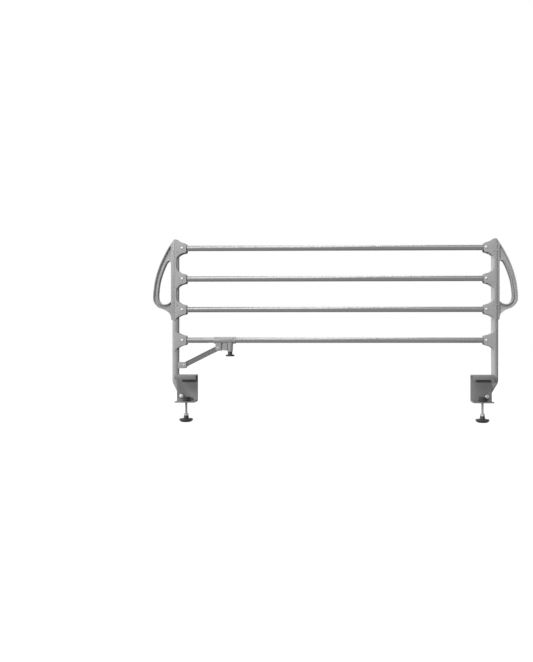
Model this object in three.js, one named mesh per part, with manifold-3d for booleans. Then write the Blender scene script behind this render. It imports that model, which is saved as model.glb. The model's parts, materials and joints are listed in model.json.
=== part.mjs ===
// Folding bed guard rail: two posts on clamp brackets, four level tubes pinned between them, and a locking brace.
// Millimetres, +Z up, X along the rail, the bed on the -Y side.
// The origin is the middle of the left hook's underside, where the rail hangs on the bed frame.

import * as THREE from 'three';
import { mergeVertices } from 'three/addons/utils/BufferGeometryUtils.js';
import Module from 'manifold-3d';

const wasm = await Module();
wasm.setup();

// Shared clearances and overruns
const seatGap = 0.3; // between a piece and the seat that it rests on or sits in
const pinGap = 0.3; // round a pin or bolt in its hole
const swingGap = 1; // beside and round a tube end in its lug
const overrun = 2; // how far a cut runs past the faces that it opens

// Numbers of flats and steps
const tubeSides = 16;
const discSides = 24;
const pinSides = 12;
const screwSides = 16;
const rivetSides = 8;
const arcSteps = 4;
const curveSteps = 5;

// Rail tubes
const tubeRadius = 11;
const tubeWall = 1.5;
const tubePitch = 123;
const tubeCount = 4;
const bottomTubeHeight = 140; // above the hook seats
const pinSpan = 1210.5; // between the two columns of tube pins
const leftPinOffset = 29; // from the post's axis inwards to its column of tube pins
const rightPinOffset = 35.5;
const tubeNames = ['bottom', 'lower', 'upper', 'top'];

// Tube pins and small rivets
const tubePinRadius = 4;
const tubePinHead = { radius: 5.6, height: 2.6 };
const castingRivetRadius = 2;
const castingRivetHead = { radius: 3.4, height: 1.4 };
const blindRivetGrip = 8;

// Posts
const postRadius = 14;
const postWall = 2;
const postTopRise = 34.5; // from the top tube to the peak of the castings
const postCapDepth = 18.5; // solid casting above the post tube
const kneeDrop = 24; // below the hook seats, where the leg bends inwards
const kneeRadius = 30;
const pivotDrop = 82.5; // base pivot below the hook seats
const legTail = 16; // leg below the base pivot

// Lug castings
const castingHalfDepth = 16;
const seamOffset = 2; // seam of the two castings, outboard of the post's axis
const stripReach = 5; // inner edge of the casting between lugs, inboard of the axis
const lugReach = 46; // lug tips, inboard of the axis
const lugHalfHeight = 19.5;
const lugTipHalfHeight = 8;
const lugShoulder = 38; // where the lug's flat flank ends
const filletHeight = 48; // above a lug's centre, where its fillet meets the strip
const lugTailHeight = 53; // above a lug's centre, where a lone fillet meets the seam
const filletShares = [[0.06, 0.5], [0.4, 0.12]];
const peakReach = 4;
const peakShares = [[0.3, 0.97], [0.47, 0.17]];

// D handles
const handleReach = 90; // outboard of the post's axis
const handleTailDrop = 41; // handle's tail below its lowest lug
const handleHalfDepth = 12;
const handleWebHalf = 6;
const sleeveReach = 17; // outer side of the casting round the post
const outerRim = 4.5;
const innerRim = 4.5;
const webInset = 2.5; // from the sleeve to the recessed web
const handleCurveSteps = 34;
const openingCurveSteps = 30;
const handleShares = [
  [0.03, 1], [0.106, 0.981], [0.332, 0.888], [0.519, 0.79], [0.703, 0.677], [0.847, 0.557], [0.933, 0.452],
  [0.981, 0.346], [0.996, 0.278], [0.956, 0.218], [0.806, 0.165], [0.672, 0.144], [0.439, 0.118],
  [0.267, 0.081], [0.2, 0.044], [0.183, 0.003],
];
const openingShares = [
  [0, 0.703], [0.041, 0.725], [0.116, 0.7325], [0.205, 0.72], [0.295, 0.686], [0.429, 0.616], [0.589, 0.51],
  [0.671, 0.42], [0.712, 0.331], [0.716, 0.28], [0.671, 0.236], [0.562, 0.205], [0.397, 0.193],
  [0.178, 0.202], [0, 0.233],
];
const lugRivetInset = 8;
const handleRivetInset = 5.8; // outboard of the post's axis
const castingRivetDrops = { top: 13.5, low: 228 }; // below the top tube
const lowerRivetRise = 22; // above the bottom tube

// Clamp brackets
const bracketWidth = 84;
const sheet = 4.5;
const sheetBend = 1.5; // inner radius of its bends
const throatDepth = 39; // between the lip and the back plate
const bracketHeight = 110;
const lipHeight = 18.2;
const lowerFlangeDepth = 42; // from the back plate's rear face
const turnedEndRadius = 8;
const turnedEndHeight = 10;
const pivotInset = 19.5; // from the bracket's outer edge
const plateToPost = 3;

// Base pivots
const boltRadius = 5;
const boltHead = { flats: 16, height: 6.5 };
const pivotWasher = { radius: 12, thickness: 2 };
const spacerRadius = 13;
const lockNut = { flats: 16, height: 8.5, flange: 11.5, flangeHeight: 2 };
const boltEnd = 1.2; // bolt end past its nut

// Clamp screws
const screwRadius = 5;
const pad = { radius: 15, rim: 13.5, height: 15.5, chamfer: 2, socket: 8 };
const padLift = 2; // pad above the lower flange at rest
const threadNeck = { radius: 8, height: 1.4 }; // drawn up from the lower flange
const screwToNut = 42; // lower flange to the knob's nut
const knobNut = { flats: 17, height: 9 };
const knob = {
  hubTop: 9.5, hubFoot: 10.5, hubHeight: 14, radius: 27, rimHeight: 1.8, dish: 2.2, edge: 5, height: 11.5, foot: 22,
};
const knobSocket = 12;

// Brace and its clevis on the left post
const braceFootInset = 5; // lower pin, inboard of the column of tube pins
const braceFootDrop = 100; // lower pin below the bottom tube
const braceLength = 153.9;
const braceHalfWidth = 9;
const braceHalfDepth = 4;
const bracePocket = { halfWidth: 5.5, depth: 2, fromPin: 15 };
const clevisHalfDepth = 9;
const clevisGap = 0.7; // each side of the brace
const clevisHalfHeight = 12.5;
const clevisReach = 11; // past the pin
const clevisCorner = 8;
const bracePinRadius = 3.5;
const bracePinHead = { radius: 5, height: 2.2 };

// Slider on the bottom tube
const eyeDrop = 31; // upper brace pin below the tube's axis
const sleeveRadius = 13.5;
const sleeveGap = 0.5;
const sleeveBefore = 16.6; // sleeve's left end, left of the eye
const sleeveAfter = 63.4; // sleeve's right end, right of the eye
const collarLength = 6.3;
const collarRadius = 13.9;
const eyeBlock = { before: 10.1, after: 13.6, below: 11.4, corner: 6, roof: 13, wall: 4.5 };
const linkWeb = { length: 7.4, halfDepth: 3.5, inset: 3 };
const ribBlock = { length: 14.2, halfDepth: 8, grooves: 3, groove: 1.5, grooveDepth: 1.2 };
const barrelAfter = 47.7; // plunger axis, right of the eye
const barrel = { top: 11.75, foot: 10.4, below: 14.8, bore: 7.5, roof: 19, guide: 4 };

// Plunger
const lockPin = { radius: 3.5, intoTube: 4, collar: 6.8, collarHeight: 3.2 };
const retainer = { thickness: 3.8, hole: 3.9, recess: 0.3 };
const spring = { radius: 5.3, wire: 0.7, curls: 4, stepsPerCurl: 8, sides: 5 };
const pullKnob = { neck: 9, neckHeight: 11.5, radius: 17.6, height: 7, round: 2, socket: 14 };
const lockSlotGap = 0.6;
const foldAngle = THREE.MathUtils.degToRad(78);

// Levels and places worked out from the sizes above
const railY = throatDepth / 2 + sheet + plateToPost + postRadius;
const tubeZ = Array.from({ length: tubeCount }, (_, i) => bottomTubeHeight + i * tubePitch);
const topTubeZ = tubeZ[tubeCount - 1];
const postTopZ = topTubeZ + postTopRise;
const postTubeTopZ = postTopZ - postCapDepth;
const handleTailZ = tubeZ[1] - handleTailDrop;
const bracketBottomZ = sheet - bracketHeight;
const lowerFlangeTopZ = bracketBottomZ + sheet;
const pivotX = pivotInset - bracketWidth / 2;
const clevisSlotHalf = braceHalfDepth + clevisGap;
const tubeEndRadius = tubeRadius;
const slotHalf = tubeRadius + swingGap;

const ends = [
  { name: 'left', inboard: 1, pinOffset: leftPinOffset },
  { name: 'right', inboard: -1, pinOffset: rightPinOffset },
];
ends[0].pivot = pivotX;
ends[1].pivot = pivotX + pinSpan;
for (const end of ends) {
  end.post = end.pivot - end.inboard * end.pinOffset;
  end.bracket = end.pivot - end.inboard * pivotX;
}

// Materials

const standard = (color, roughness, metalness) => new THREE.MeshStandardMaterial({ color, roughness, metalness });
const materials = {
  casting: standard(0x9a9a9a, 0.55, 0.35),
  post: standard(0x8f8f8f, 0.45, 0.5),
  tube: standard(0xc4c4c4, 0.25, 1),
  bracket: standard(0x747474, 0.5, 0.4),
  steel: standard(0xb4b4b4, 0.3, 1),
  darkSteel: standard(0x6c6c6c, 0.45, 0.6),
  slider: standard(0xa6a6a6, 0.5, 0.2),
  black: standard(0x242424, 0.3, 0),
  rubber: standard(0x2b2b2b, 0.85, 0),
  nylon: standard(0x4a4a4a, 0.7, 0),
};

// Solids and booleans

function signedVolume(geometry) {
  const place = geometry.attributes.position;
  const corners = [new THREE.Vector3(), new THREE.Vector3(), new THREE.Vector3()];
  let volume = 0;
  for (let i = 0; i < geometry.index.count; i += 3) {
    corners.forEach((corner, k) => corner.fromBufferAttribute(place, geometry.index.getX(i + k)));
    volume += corners[0].dot(corners[1].clone().cross(corners[2]));
  }
  return volume;
}

// Gives a geometry shared corners and faces that point out.
function closed(geometry) {
  const bare = geometry.clone();
  bare.deleteAttribute('normal');
  bare.deleteAttribute('uv');
  const merged = mergeVertices(bare);
  if (signedVolume(merged) < 0) {
    const index = merged.index;
    for (let i = 0; i < index.count; i += 3) {
      const first = index.getX(i);
      index.setX(i, index.getX(i + 1));
      index.setX(i + 1, first);
    }
  }
  return merged;
}

function solid(geometry) {
  const mesh = closed(geometry);
  return new wasm.Manifold(new wasm.Mesh({
    numProp: 3,
    vertProperties: Float32Array.from(mesh.attributes.position.array),
    triVerts: Uint32Array.from(mesh.index.array),
  }));
}

function geometryOf(body) {
  const mesh = body.getMesh();
  const geometry = new THREE.BufferGeometry();
  geometry.setAttribute('position', new THREE.BufferAttribute(mesh.vertProperties, 3));
  geometry.setIndex(new THREE.BufferAttribute(mesh.triVerts, 1));
  return geometry;
}

const join = (first, ...others) => others.reduce((body, other) => body.add(other), first);
const cut = (first, ...tools) => tools.reduce((body, tool) => body.subtract(tool), first);
const common = (first, second) => first.intersect(second);

// Outlines

const point = (x, y) => new THREE.Vector2(x, y);
const outline = (points) => new THREE.Shape(points.map(([x, y]) => point(x, y)));

// Rounds the inner corners of a line of points, and every corner of a loop.
function rounded(points, radius, loop = false) {
  const result = [];
  const count = points.length;
  points.forEach((corner, i) => {
    if (!loop && (i === 0 || i === count - 1)) {
      result.push(corner);
      return;
    }
    const here = point(...corner);
    const back = point(...points[(i + count - 1) % count]).sub(here).normalize();
    const ahead = point(...points[(i + 1) % count]).sub(here).normalize();
    const half = Math.acos(THREE.MathUtils.clamp(back.dot(ahead), -1, 1)) / 2;
    const centre = back.clone().add(ahead).normalize().multiplyScalar(radius / Math.sin(half)).add(here);
    const start = here.clone().addScaledVector(back, radius / Math.tan(half)).sub(centre);
    const finish = here.clone().addScaledVector(ahead, radius / Math.tan(half)).sub(centre);
    const turn = Math.atan2(start.cross(finish), start.dot(finish));
    for (let k = 0; k <= arcSteps; k += 1) {
      const spoke = start.clone().rotateAround(point(0, 0), (turn * k) / arcSteps).add(centre);
      result.push([spoke.x, spoke.y]);
    }
  });
  return result;
}

// Moves each point of a line sideways.
function offsetLine(points, distance) {
  return points.map((_, i) => {
    const before = points[Math.max(i - 1, 0)];
    const after = points[Math.min(i + 1, points.length - 1)];
    const along = point(after[0] - before[0], after[1] - before[1]).normalize();
    return [points[i][0] - along.y * distance, points[i][1] + along.x * distance];
  });
}

function spline(points, steps) {
  return new THREE.SplineCurve(points.map(([x, y]) => point(x, y))).getPoints(steps).map((p) => [p.x, p.y]);
}

// Plain solids

// An outline in X and Z, carried from one Y to another.
function plateXZ(shape, low, high) {
  const geometry = new THREE.ExtrudeGeometry(shape, {
    depth: high - low, bevelEnabled: false, curveSegments: curveSteps,
  });
  geometry.rotateX(Math.PI / 2).translate(0, high, 0);
  return solid(geometry);
}

// An outline in Y and Z, carried from one X to another.
function plateYZ(shape, low, high) {
  const geometry = new THREE.ExtrudeGeometry(shape, {
    depth: high - low, bevelEnabled: false, curveSegments: curveSteps,
  });
  const turned = new THREE.Matrix4().makeBasis(
    new THREE.Vector3(0, 1, 0), new THREE.Vector3(0, 0, 1), new THREE.Vector3(1, 0, 0),
  );
  geometry.applyMatrix4(turned).translate(low, 0, 0);
  return solid(geometry);
}

function block(x0, x1, y0, y1, z0, z1) {
  const geometry = new THREE.BoxGeometry(x1 - x0, y1 - y0, z1 - z0);
  geometry.translate((x0 + x1) / 2, (y0 + y1) / 2, (z0 + z1) / 2);
  return solid(geometry);
}

function rodX(radius, low, high, sides) {
  const geometry = new THREE.CylinderGeometry(radius, radius, high - low, sides);
  geometry.rotateZ(Math.PI / 2).translate((low + high) / 2, 0, 0);
  return solid(geometry);
}

function rodY(radius, low, high, x, z, sides) {
  const geometry = new THREE.CylinderGeometry(radius, radius, high - low, sides);
  geometry.translate(x, (low + high) / 2, z);
  return solid(geometry);
}

function rodZ(radius, low, high, x, sides) {
  const geometry = new THREE.CylinderGeometry(radius, radius, high - low, sides);
  geometry.rotateX(Math.PI / 2).translate(x, 0, (low + high) / 2);
  return solid(geometry);
}

// A profile of radius and height turned round the Z axis.
function turnedZ(profile, sides) {
  const geometry = new THREE.LatheGeometry(profile.map(([r, z]) => point(r, z)), sides);
  geometry.rotateX(Math.PI / 2);
  return solid(geometry);
}

// The same round the Y axis.
function turnedY(profile, sides) {
  return solid(new THREE.LatheGeometry(profile.map(([r, y]) => point(r, y)), sides));
}

function ringProfile(inner, outer, low, high) {
  return [[inner, low], [outer, low], [outer, high], [inner, high], [inner, low]];
}

const hexRadius = (flats) => flats / Math.sqrt(3);

// A round rod that follows a line of points in the XZ plane, mitred where it bends.
function sweptRod(points, radius, sides) {
  const positions = [];
  const count = points.length;
  const spots = points.map(([x, z]) => point(x, z));
  spots.forEach((spot, i) => {
    const back = spots[Math.max(i, 1)].clone().sub(spots[Math.max(i, 1) - 1]).normalize();
    const next = Math.min(i, count - 2);
    const ahead = spots[next + 1].clone().sub(spots[next]).normalize();
    const along = back.clone().add(ahead).normalize();
    const widen = 1 / along.dot(ahead);
    for (let k = 0; k < sides; k += 1) {
      const angle = (2 * Math.PI * k) / sides;
      const across = Math.cos(angle) * radius * widen;
      positions.push(spot.x - along.y * across, Math.sin(angle) * radius, spot.y + along.x * across);
    }
  });
  const index = [];
  for (let i = 0; i < count - 1; i += 1) {
    for (let k = 0; k < sides; k += 1) {
      const a = i * sides + k;
      const b = i * sides + ((k + 1) % sides);
      index.push(a, b, a + sides, b, b + sides, a + sides);
    }
  }
  for (let k = 1; k < sides - 1; k += 1) {
    index.push(0, k + 1, k);
    const last = (count - 1) * sides;
    index.push(last, last + k, last + k + 1);
  }
  const geometry = new THREE.BufferGeometry();
  geometry.setAttribute('position', new THREE.Float32BufferAttribute(positions, 3));
  geometry.setIndex(index);
  return solid(geometry);
}

// A rivet along Y with a domed head past each end of its grip.
function rivet(radius, head, low, high, x, z, sides) {
  const dome = (seat, out) => [
    [head.radius, seat],
    [head.radius * Math.cos(Math.PI / 6), seat + out * head.height * Math.sin(Math.PI / 4)],
    [0, seat + out * head.height],
  ];
  const profile = [
    ...dome(low - seatGap, -1).reverse(), [radius, low - seatGap],
    [radius, high + seatGap], ...dome(high + seatGap, 1),
  ];
  return turnedY(profile, sides).translate([x, 0, z]);
}

// A blind rivet along Y: a head on one face and a plain shank.
function blindRivet(radius, head, face, out, grip, x, z, sides) {
  const seat = face + out * seatGap;
  const profile = [
    [0, seat + out * head.height],
    [head.radius * Math.cos(Math.PI / 6), seat + out * head.height * Math.sin(Math.PI / 4)],
    [head.radius, seat],
    [radius, seat],
    [radius, seat - out * grip],
    [0, seat - out * grip],
  ];
  return turnedY(profile, sides).translate([x, 0, z]);
}

// Pieces of one end, drawn for the left: X points inboard from the post's axis

function legDirection(end) {
  return point(end.pinOffset, kneeDrop - pivotDrop).normalize();
}

// The post's middle line from top to foot, each end moved out by its own amount.
function postPath(end, topExtra, footExtra) {
  const along = legDirection(end);
  const tail = legTail + footExtra;
  const foot = [end.pinOffset + along.x * tail, -pivotDrop + along.y * tail];
  return rounded([[0, postTubeTopZ + topExtra], [0, -kneeDrop], foot], kneeRadius);
}

// Rivets run through a casting and both walls of the post tube. Only the lower lug's is blind, from the rear.
function castingRivetPlaces() {
  return Object.entries(castingRivetDrops).flatMap(([level, drop]) => [
    { casting: 'lugs', level, x: lugRivetInset, z: topTubeZ - drop },
    { casting: 'handle', level, x: -handleRivetInset, z: topTubeZ - drop },
  ]);
}

const castingRivetHole = ({ x, z }) => rodY(
  castingRivetRadius + pinGap, -castingHalfDepth - overrun, castingHalfDepth + overrun, x, z, rivetSides,
);

const lowerRivetHole = () => rodY(
  castingRivetRadius + pinGap, 0, castingHalfDepth + overrun, lugRivetInset, tubeZ[0] + lowerRivetRise, rivetSides,
);

// The post tube is open at its top and closed at its foot.
function postTube(end) {
  const wide = sweptRod(postPath(end, 0, 0), postRadius, tubeSides);
  const hollow = sweptRod(postPath(end, overrun, -postWall), postRadius - postWall, tubeSides);
  const reach = postRadius + overrun;
  const bolt = rodY(boltRadius + pinGap, -reach, reach, end.pinOffset, -pivotDrop, pinSides);
  return cut(wide, hollow, bolt, ...castingRivetPlaces().map(castingRivetHole), lowerRivetHole());
}

// The room that a casting keeps for the post tube.
function postRoom(top) {
  return rodZ(postRadius + seatGap, -kneeDrop, top, 0, tubeSides);
}

// One flank of a lug: a fillet that leaves the post and flattens towards the shoulder.
function fillet(shape, startX, startZ, endX, endZ) {
  const [first, second] = filletShares;
  const place = ([across, down]) => [
    startX + (endX - startX) * across, endZ + (startZ - endZ) * down,
  ];
  shape.bezierCurveTo(...place(first), ...place(second), endX, endZ);
}

function lugTip(shape, z) {
  shape.quadraticCurveTo(lugReach, z + lugHalfHeight, lugReach, z + lugTipHalfHeight);
  shape.lineTo(lugReach, z - lugTipHalfHeight);
  shape.quadraticCurveTo(lugReach, z - lugHalfHeight, lugShoulder, z - lugHalfHeight);
}

// The lower flank runs the same way back, so its curve is drawn from the shoulder.
function lowerFillet(shape, endX, z, height) {
  const [first, second] = filletShares;
  const place = ([across, down]) => [
    endX + (lugShoulder - endX) * across, z - lugHalfHeight - (height - lugHalfHeight) * down,
  ];
  shape.bezierCurveTo(...place(second), ...place(first), endX, z - height);
}

function upperLugOutline() {
  const seam = seatGap / 2 - seamOffset;
  const shape = new THREE.Shape();
  const bottom = tubeZ[1];
  shape.moveTo(seam, bottom - lugTailHeight);
  shape.lineTo(seam, postTopZ);
  shape.lineTo(peakReach, postTopZ);
  const [first, second] = peakShares;
  const shoulderZ = topTubeZ + lugHalfHeight;
  const place = ([across, up]) => [
    peakReach + (lugShoulder - peakReach) * across, shoulderZ + (postTopZ - shoulderZ) * up,
  ];
  shape.bezierCurveTo(...place(first), ...place(second), lugShoulder, shoulderZ);
  for (let i = tubeCount - 1; i >= 1; i -= 1) {
    if (i < tubeCount - 1) {
      shape.lineTo(stripReach, tubeZ[i] + filletHeight);
      fillet(shape, stripReach, tubeZ[i] + filletHeight, lugShoulder, tubeZ[i] + lugHalfHeight);
    }
    lugTip(shape, tubeZ[i]);
    const last = i === 1;
    lowerFillet(shape, last ? seam : stripReach, tubeZ[i], last ? lugTailHeight : filletHeight);
  }
  return shape;
}

function lowerLugOutline() {
  const seam = seatGap / 2 - seamOffset;
  const shape = new THREE.Shape();
  const z = tubeZ[0];
  shape.moveTo(seam, z - lugTailHeight);
  shape.lineTo(seam, z + lugTailHeight);
  fillet(shape, seam, z + lugTailHeight, lugShoulder, z + lugHalfHeight);
  lugTip(shape, z);
  lowerFillet(shape, seam, z, lugTailHeight);
  return shape;
}

function lugCasting(end, shape, rows, rivetHoles) {
  const deep = castingHalfDepth + overrun;
  const body = plateXZ(shape, -castingHalfDepth, castingHalfDepth);
  const slotFloor = end.pinOffset - tubeEndRadius - swingGap;
  const slot = block(
    slotFloor, lugReach + overrun, -slotHalf, slotHalf, rows[0] - lugTailHeight, postTopZ + overrun,
  );
  const pinHoles = rows.map((z) => rodY(tubePinRadius + pinGap, -deep, deep, end.pinOffset, z, pinSides));
  return cut(body, postRoom(postTubeTopZ + seatGap), slot, ...pinHoles, ...rivetHoles);
}

function upperLugs(end) {
  const holes = castingRivetPlaces().filter(({ casting }) => casting === 'lugs').map(castingRivetHole);
  return lugCasting(end, upperLugOutline(), tubeZ.slice(1), holes);
}

function lowerLug(end) {
  return lugCasting(end, lowerLugOutline(), tubeZ.slice(0, 1), [lowerRivetHole()]);
}

function handleCurve() {
  const height = postTopZ - handleTailZ;
  return spline(handleShares.map(([out, up]) => [-handleReach * out, handleTailZ + height * up]), handleCurveSteps);
}

function openingCurve() {
  const height = postTopZ - handleTailZ;
  const width = handleReach - sleeveReach;
  return spline(
    openingShares.map(([out, up]) => [-sleeveReach - width * out, handleTailZ + height * up]), openingCurveSteps,
  );
}

// The grooves and web panels, sunk into the front and the rear of the handle.
function handlePockets() {
  const deep = handleHalfDepth + overrun;
  const within = plateXZ(outline(offsetLine(handleCurve(), outerRim)), -deep, deep);
  const beside = block(
    -handleReach, -sleeveReach - webInset, -deep, deep, handleTailZ - overrun, postTopZ + overrun,
  );
  const ring = plateXZ(outline(offsetLine(openingCurve(), -innerRim)), -deep - overrun, deep + overrun);
  const web = block(
    -handleReach, 0, -handleWebHalf, handleWebHalf, handleTailZ - overrun, postTopZ + overrun,
  );
  return cut(common(within, beside), ring, web);
}

function handle() {
  const seam = -seamOffset - seatGap / 2;
  const shape = outline([[seam, handleTailZ], [seam, postTopZ], ...handleCurve()]);
  const thin = plateXZ(shape, -handleHalfDepth, handleHalfDepth);
  const thick = common(
    plateXZ(shape, -castingHalfDepth, castingHalfDepth),
    block(-sleeveReach, 0, -castingHalfDepth, castingHalfDepth, handleTailZ, postTopZ),
  );
  const deep = castingHalfDepth + overrun;
  const opening = plateXZ(outline(openingCurve()), -deep, deep);
  const holes = castingRivetPlaces().filter(({ casting }) => casting === 'handle').map(castingRivetHole);
  return cut(join(thin, thick), opening, handlePockets(), postRoom(postTubeTopZ + seatGap), ...holes);
}

const tubePin = (end, z) => rivet(
  tubePinRadius, tubePinHead, -castingHalfDepth, castingHalfDepth, end.pinOffset, z, pinSides,
);

const castingRivet = ({ x, z }) => rivet(
  castingRivetRadius, castingRivetHead, -castingHalfDepth, castingHalfDepth, x, z, rivetSides,
);

const lowerLugRivet = () => blindRivet(
  castingRivetRadius, castingRivetHead, castingHalfDepth, 1, blindRivetGrip,
  lugRivetInset, tubeZ[0] + lowerRivetRise, rivetSides,
);

// Clamp pieces, drawn for the left: X points inboard from the middle of the throat, Y = 0 is its middle

function bracketSection() {
  const half = throatDepth / 2;
  const outer = [
    [-half - sheet, sheet - lipHeight], [-half - sheet, sheet], [half + sheet, sheet],
    [half + sheet, bracketBottomZ], [half + sheet - lowerFlangeDepth, bracketBottomZ],
  ];
  const inner = [
    [-half, sheet - lipHeight], [-half, 0], [half, 0],
    [half, lowerFlangeTopZ], [half + sheet - lowerFlangeDepth, lowerFlangeTopZ],
  ];
  return outline([...rounded(outer, sheet + sheetBend), ...rounded(inner, sheetBend).reverse()]);
}

// The front view of the bracket, with its lower inner corner rounded.
function bracketFace() {
  const half = bracketWidth / 2;
  const corner = rounded(
    [[-half, bracketBottomZ], [half, bracketBottomZ], [half, sheet]], turnedEndRadius,
  );
  return outline([...corner, [-half, sheet]]);
}

// The lower flange seen from the front, with its inner end turned up.
function turnedFlange() {
  const half = bracketWidth / 2;
  const top = bracketBottomZ + turnedEndHeight;
  const outer = rounded([[0, bracketBottomZ], [half, bracketBottomZ], [half, top]], turnedEndRadius);
  const inner = rounded(
    [[0, lowerFlangeTopZ], [half - sheet, lowerFlangeTopZ], [half - sheet, top]], turnedEndRadius - sheet,
  );
  return outline([...outer, ...inner.reverse()]);
}

function clampBracket() {
  const half = throatDepth / 2;
  const bent = plateYZ(bracketSection(), -bracketWidth / 2, bracketWidth / 2);
  const face = plateXZ(bracketFace(), -half - sheet - overrun, half + sheet + overrun);
  const flange = plateXZ(turnedFlange(), half + sheet - lowerFlangeDepth, half + sheet - sheetBend);
  const bolt = rodY(boltRadius + pinGap, half - overrun, half + sheet + overrun, pivotX, -pivotDrop, pinSides);
  const neckTop = lowerFlangeTopZ + threadNeck.height;
  const neck = rodZ(threadNeck.radius, bracketBottomZ, neckTop, 0, screwSides);
  const thread = rodZ(screwRadius + pinGap, bracketBottomZ - overrun, neckTop + overrun, 0, screwSides);
  return cut(join(common(bent, face), flange, neck), bolt, thread);
}

// Base pivot, along Y at the bracket's lower outer corner: the washer's front face is the bolt head's seat
const plateFrontY = throatDepth / 2;
const plateRearY = plateFrontY + sheet;
const frontWasherY = plateFrontY - seatGap - pivotWasher.thickness;
const lockNutY = railY + postRadius + seatGap;

function pivotBolt() {
  const seat = frontWasherY - seatGap;
  const head = rodY(hexRadius(boltHead.flats), seat - boltHead.height, seat, pivotX, -pivotDrop, 6);
  const shank = rodY(boltRadius, seat - boltHead.height / 2, lockNutY + lockNut.height + boltEnd,
    pivotX, -pivotDrop, pinSides);
  return join(head, shank);
}

function pivotRing(outer, low, high) {
  return turnedY(ringProfile(boltRadius + pinGap, outer, low, high), discSides / 2)
    .translate([pivotX, 0, -pivotDrop]);
}

const pivotWasherBody = () => pivotRing(
  pivotWasher.radius, frontWasherY, frontWasherY + pivotWasher.thickness,
);
const pivotSpacer = () => pivotRing(spacerRadius, plateRearY + seatGap, plateRearY + plateToPost - seatGap);

function pivotLockNut() {
  const body = rodY(hexRadius(lockNut.flats), lockNutY, lockNutY + lockNut.height, pivotX, -pivotDrop, 6);
  const flange = rodY(lockNut.flange, lockNutY, lockNutY + lockNut.flangeHeight, pivotX, -pivotDrop, screwSides);
  const bore = rodY(boltRadius + pinGap, lockNutY - overrun, lockNutY + lockNut.height + overrun,
    pivotX, -pivotDrop, pinSides);
  return cut(join(body, flange), bore);
}

// Clamp screw, on the Z axis through the middle of the throat
const padFootZ = lowerFlangeTopZ + padLift;
const padTopZ = padFootZ + pad.height;
const knobNutTopZ = bracketBottomZ - screwToNut;
const knobTopZ = knobNutTopZ - knobNut.height - seatGap;

function clampPad() {
  const bore = screwRadius + pinGap;
  return turnedZ([
    [0, padTopZ], [pad.rim - pad.chamfer, padTopZ], [pad.rim, padTopZ - pad.chamfer],
    [pad.radius, padFootZ + pad.chamfer], [pad.radius, padFootZ], [bore, padFootZ],
    [bore, padFootZ + pad.socket], [0, padFootZ + pad.socket],
  ], discSides);
}

function clampScrew() {
  return rodZ(screwRadius, knobTopZ - knobSocket + seatGap, padFootZ + pad.socket - seatGap, 0, screwSides);
}

function knobNutBody() {
  const body = rodZ(hexRadius(knobNut.flats), knobNutTopZ - knobNut.height, knobNutTopZ, 0, 6);
  const bore = rodZ(
    screwRadius + pinGap, knobNutTopZ - knobNut.height - overrun, knobNutTopZ + overrun, 0, screwSides,
  );
  return cut(body, bore);
}

function clampKnob() {
  const bore = screwRadius + pinGap;
  const dishZ = knobTopZ - knob.hubHeight;
  const rimZ = dishZ + knob.rimHeight;
  const footZ = rimZ - knob.height;
  return turnedZ([
    [bore, knobTopZ], [knob.hubTop, knobTopZ], [knob.hubFoot, dishZ + knob.dish],
    [(knob.hubFoot + knob.radius) / 2, dishZ], [knob.radius - knob.dish, rimZ], [knob.radius, rimZ - knob.dish],
    [knob.radius, rimZ - knob.edge], [knob.foot, footZ], [0, footZ],
    [0, knobTopZ - knobSocket], [bore, knobTopZ - knobSocket],
    [bore, knobTopZ],
  ], discSides);
}

// Rail tubes, drawn from the left pin: X runs to the right pin

function roundEnded(radius) {
  const shape = new THREE.Shape();
  shape.absarc(0, 0, radius, Math.PI / 2, (3 * Math.PI) / 2, false);
  shape.absarc(pinSpan, 0, radius, -Math.PI / 2, Math.PI / 2, false);
  return plateXZ(shape, -radius - overrun, radius + overrun);
}

const railPinHoles = () => [0, pinSpan].map((x) => rodY(
  tubePinRadius + pinGap, -tubeRadius - overrun, tubeRadius + overrun, x, 0, pinSides,
));

// Each end is formed round about its pin and closed by its own wall.
function railTube() {
  const reach = tubeRadius + overrun;
  const inner = tubeRadius - tubeWall;
  const wide = common(rodX(tubeRadius, -reach, pinSpan + reach, tubeSides), roundEnded(tubeEndRadius));
  const hollow = common(rodX(inner, -reach, pinSpan + reach, tubeSides), roundEnded(inner));
  return cut(wide, hollow, ...railPinHoles());
}

// Brace and slider, drawn from the bottom tube's left pin
const braceFoot = point(braceFootInset, -braceFootDrop);
const braceRise = braceFootDrop - eyeDrop;
const eyeX = braceFoot.x + Math.sqrt(braceLength ** 2 - braceRise ** 2);
const braceTilt = Math.asin(braceRise / braceLength);
const foldedFootX = braceFoot.x * Math.cos(foldAngle) - braceFootDrop * Math.sin(foldAngle);
const foldedFootZ = -braceFoot.x * Math.sin(foldAngle) - braceFootDrop * Math.cos(foldAngle);
const foldedEyeX = foldedFootX + Math.sqrt(braceLength ** 2 - (foldedFootZ + eyeDrop) ** 2);
const sliderTravel = eyeX - foldedEyeX;
const plungerX = eyeX + barrelAfter;
const eyeBlockEnd = eyeX + eyeBlock.after;
const ribBlockStart = eyeBlockEnd + linkWeb.length;
const ribBlockEnd = ribBlockStart + ribBlock.length;
const barrelFootZ = -eyeDrop - barrel.below;
const boreRoofZ = -barrel.roof;

// The bottom tube's underside is slotted for the lock pin's whole travel.
function slottedTube() {
  const half = lockPin.radius + lockSlotGap;
  const slot = block(
    plungerX - sliderTravel - half, plungerX + half, -half, half, -tubeRadius - overrun, 0,
  );
  return cut(railTube(), slot);
}

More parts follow.
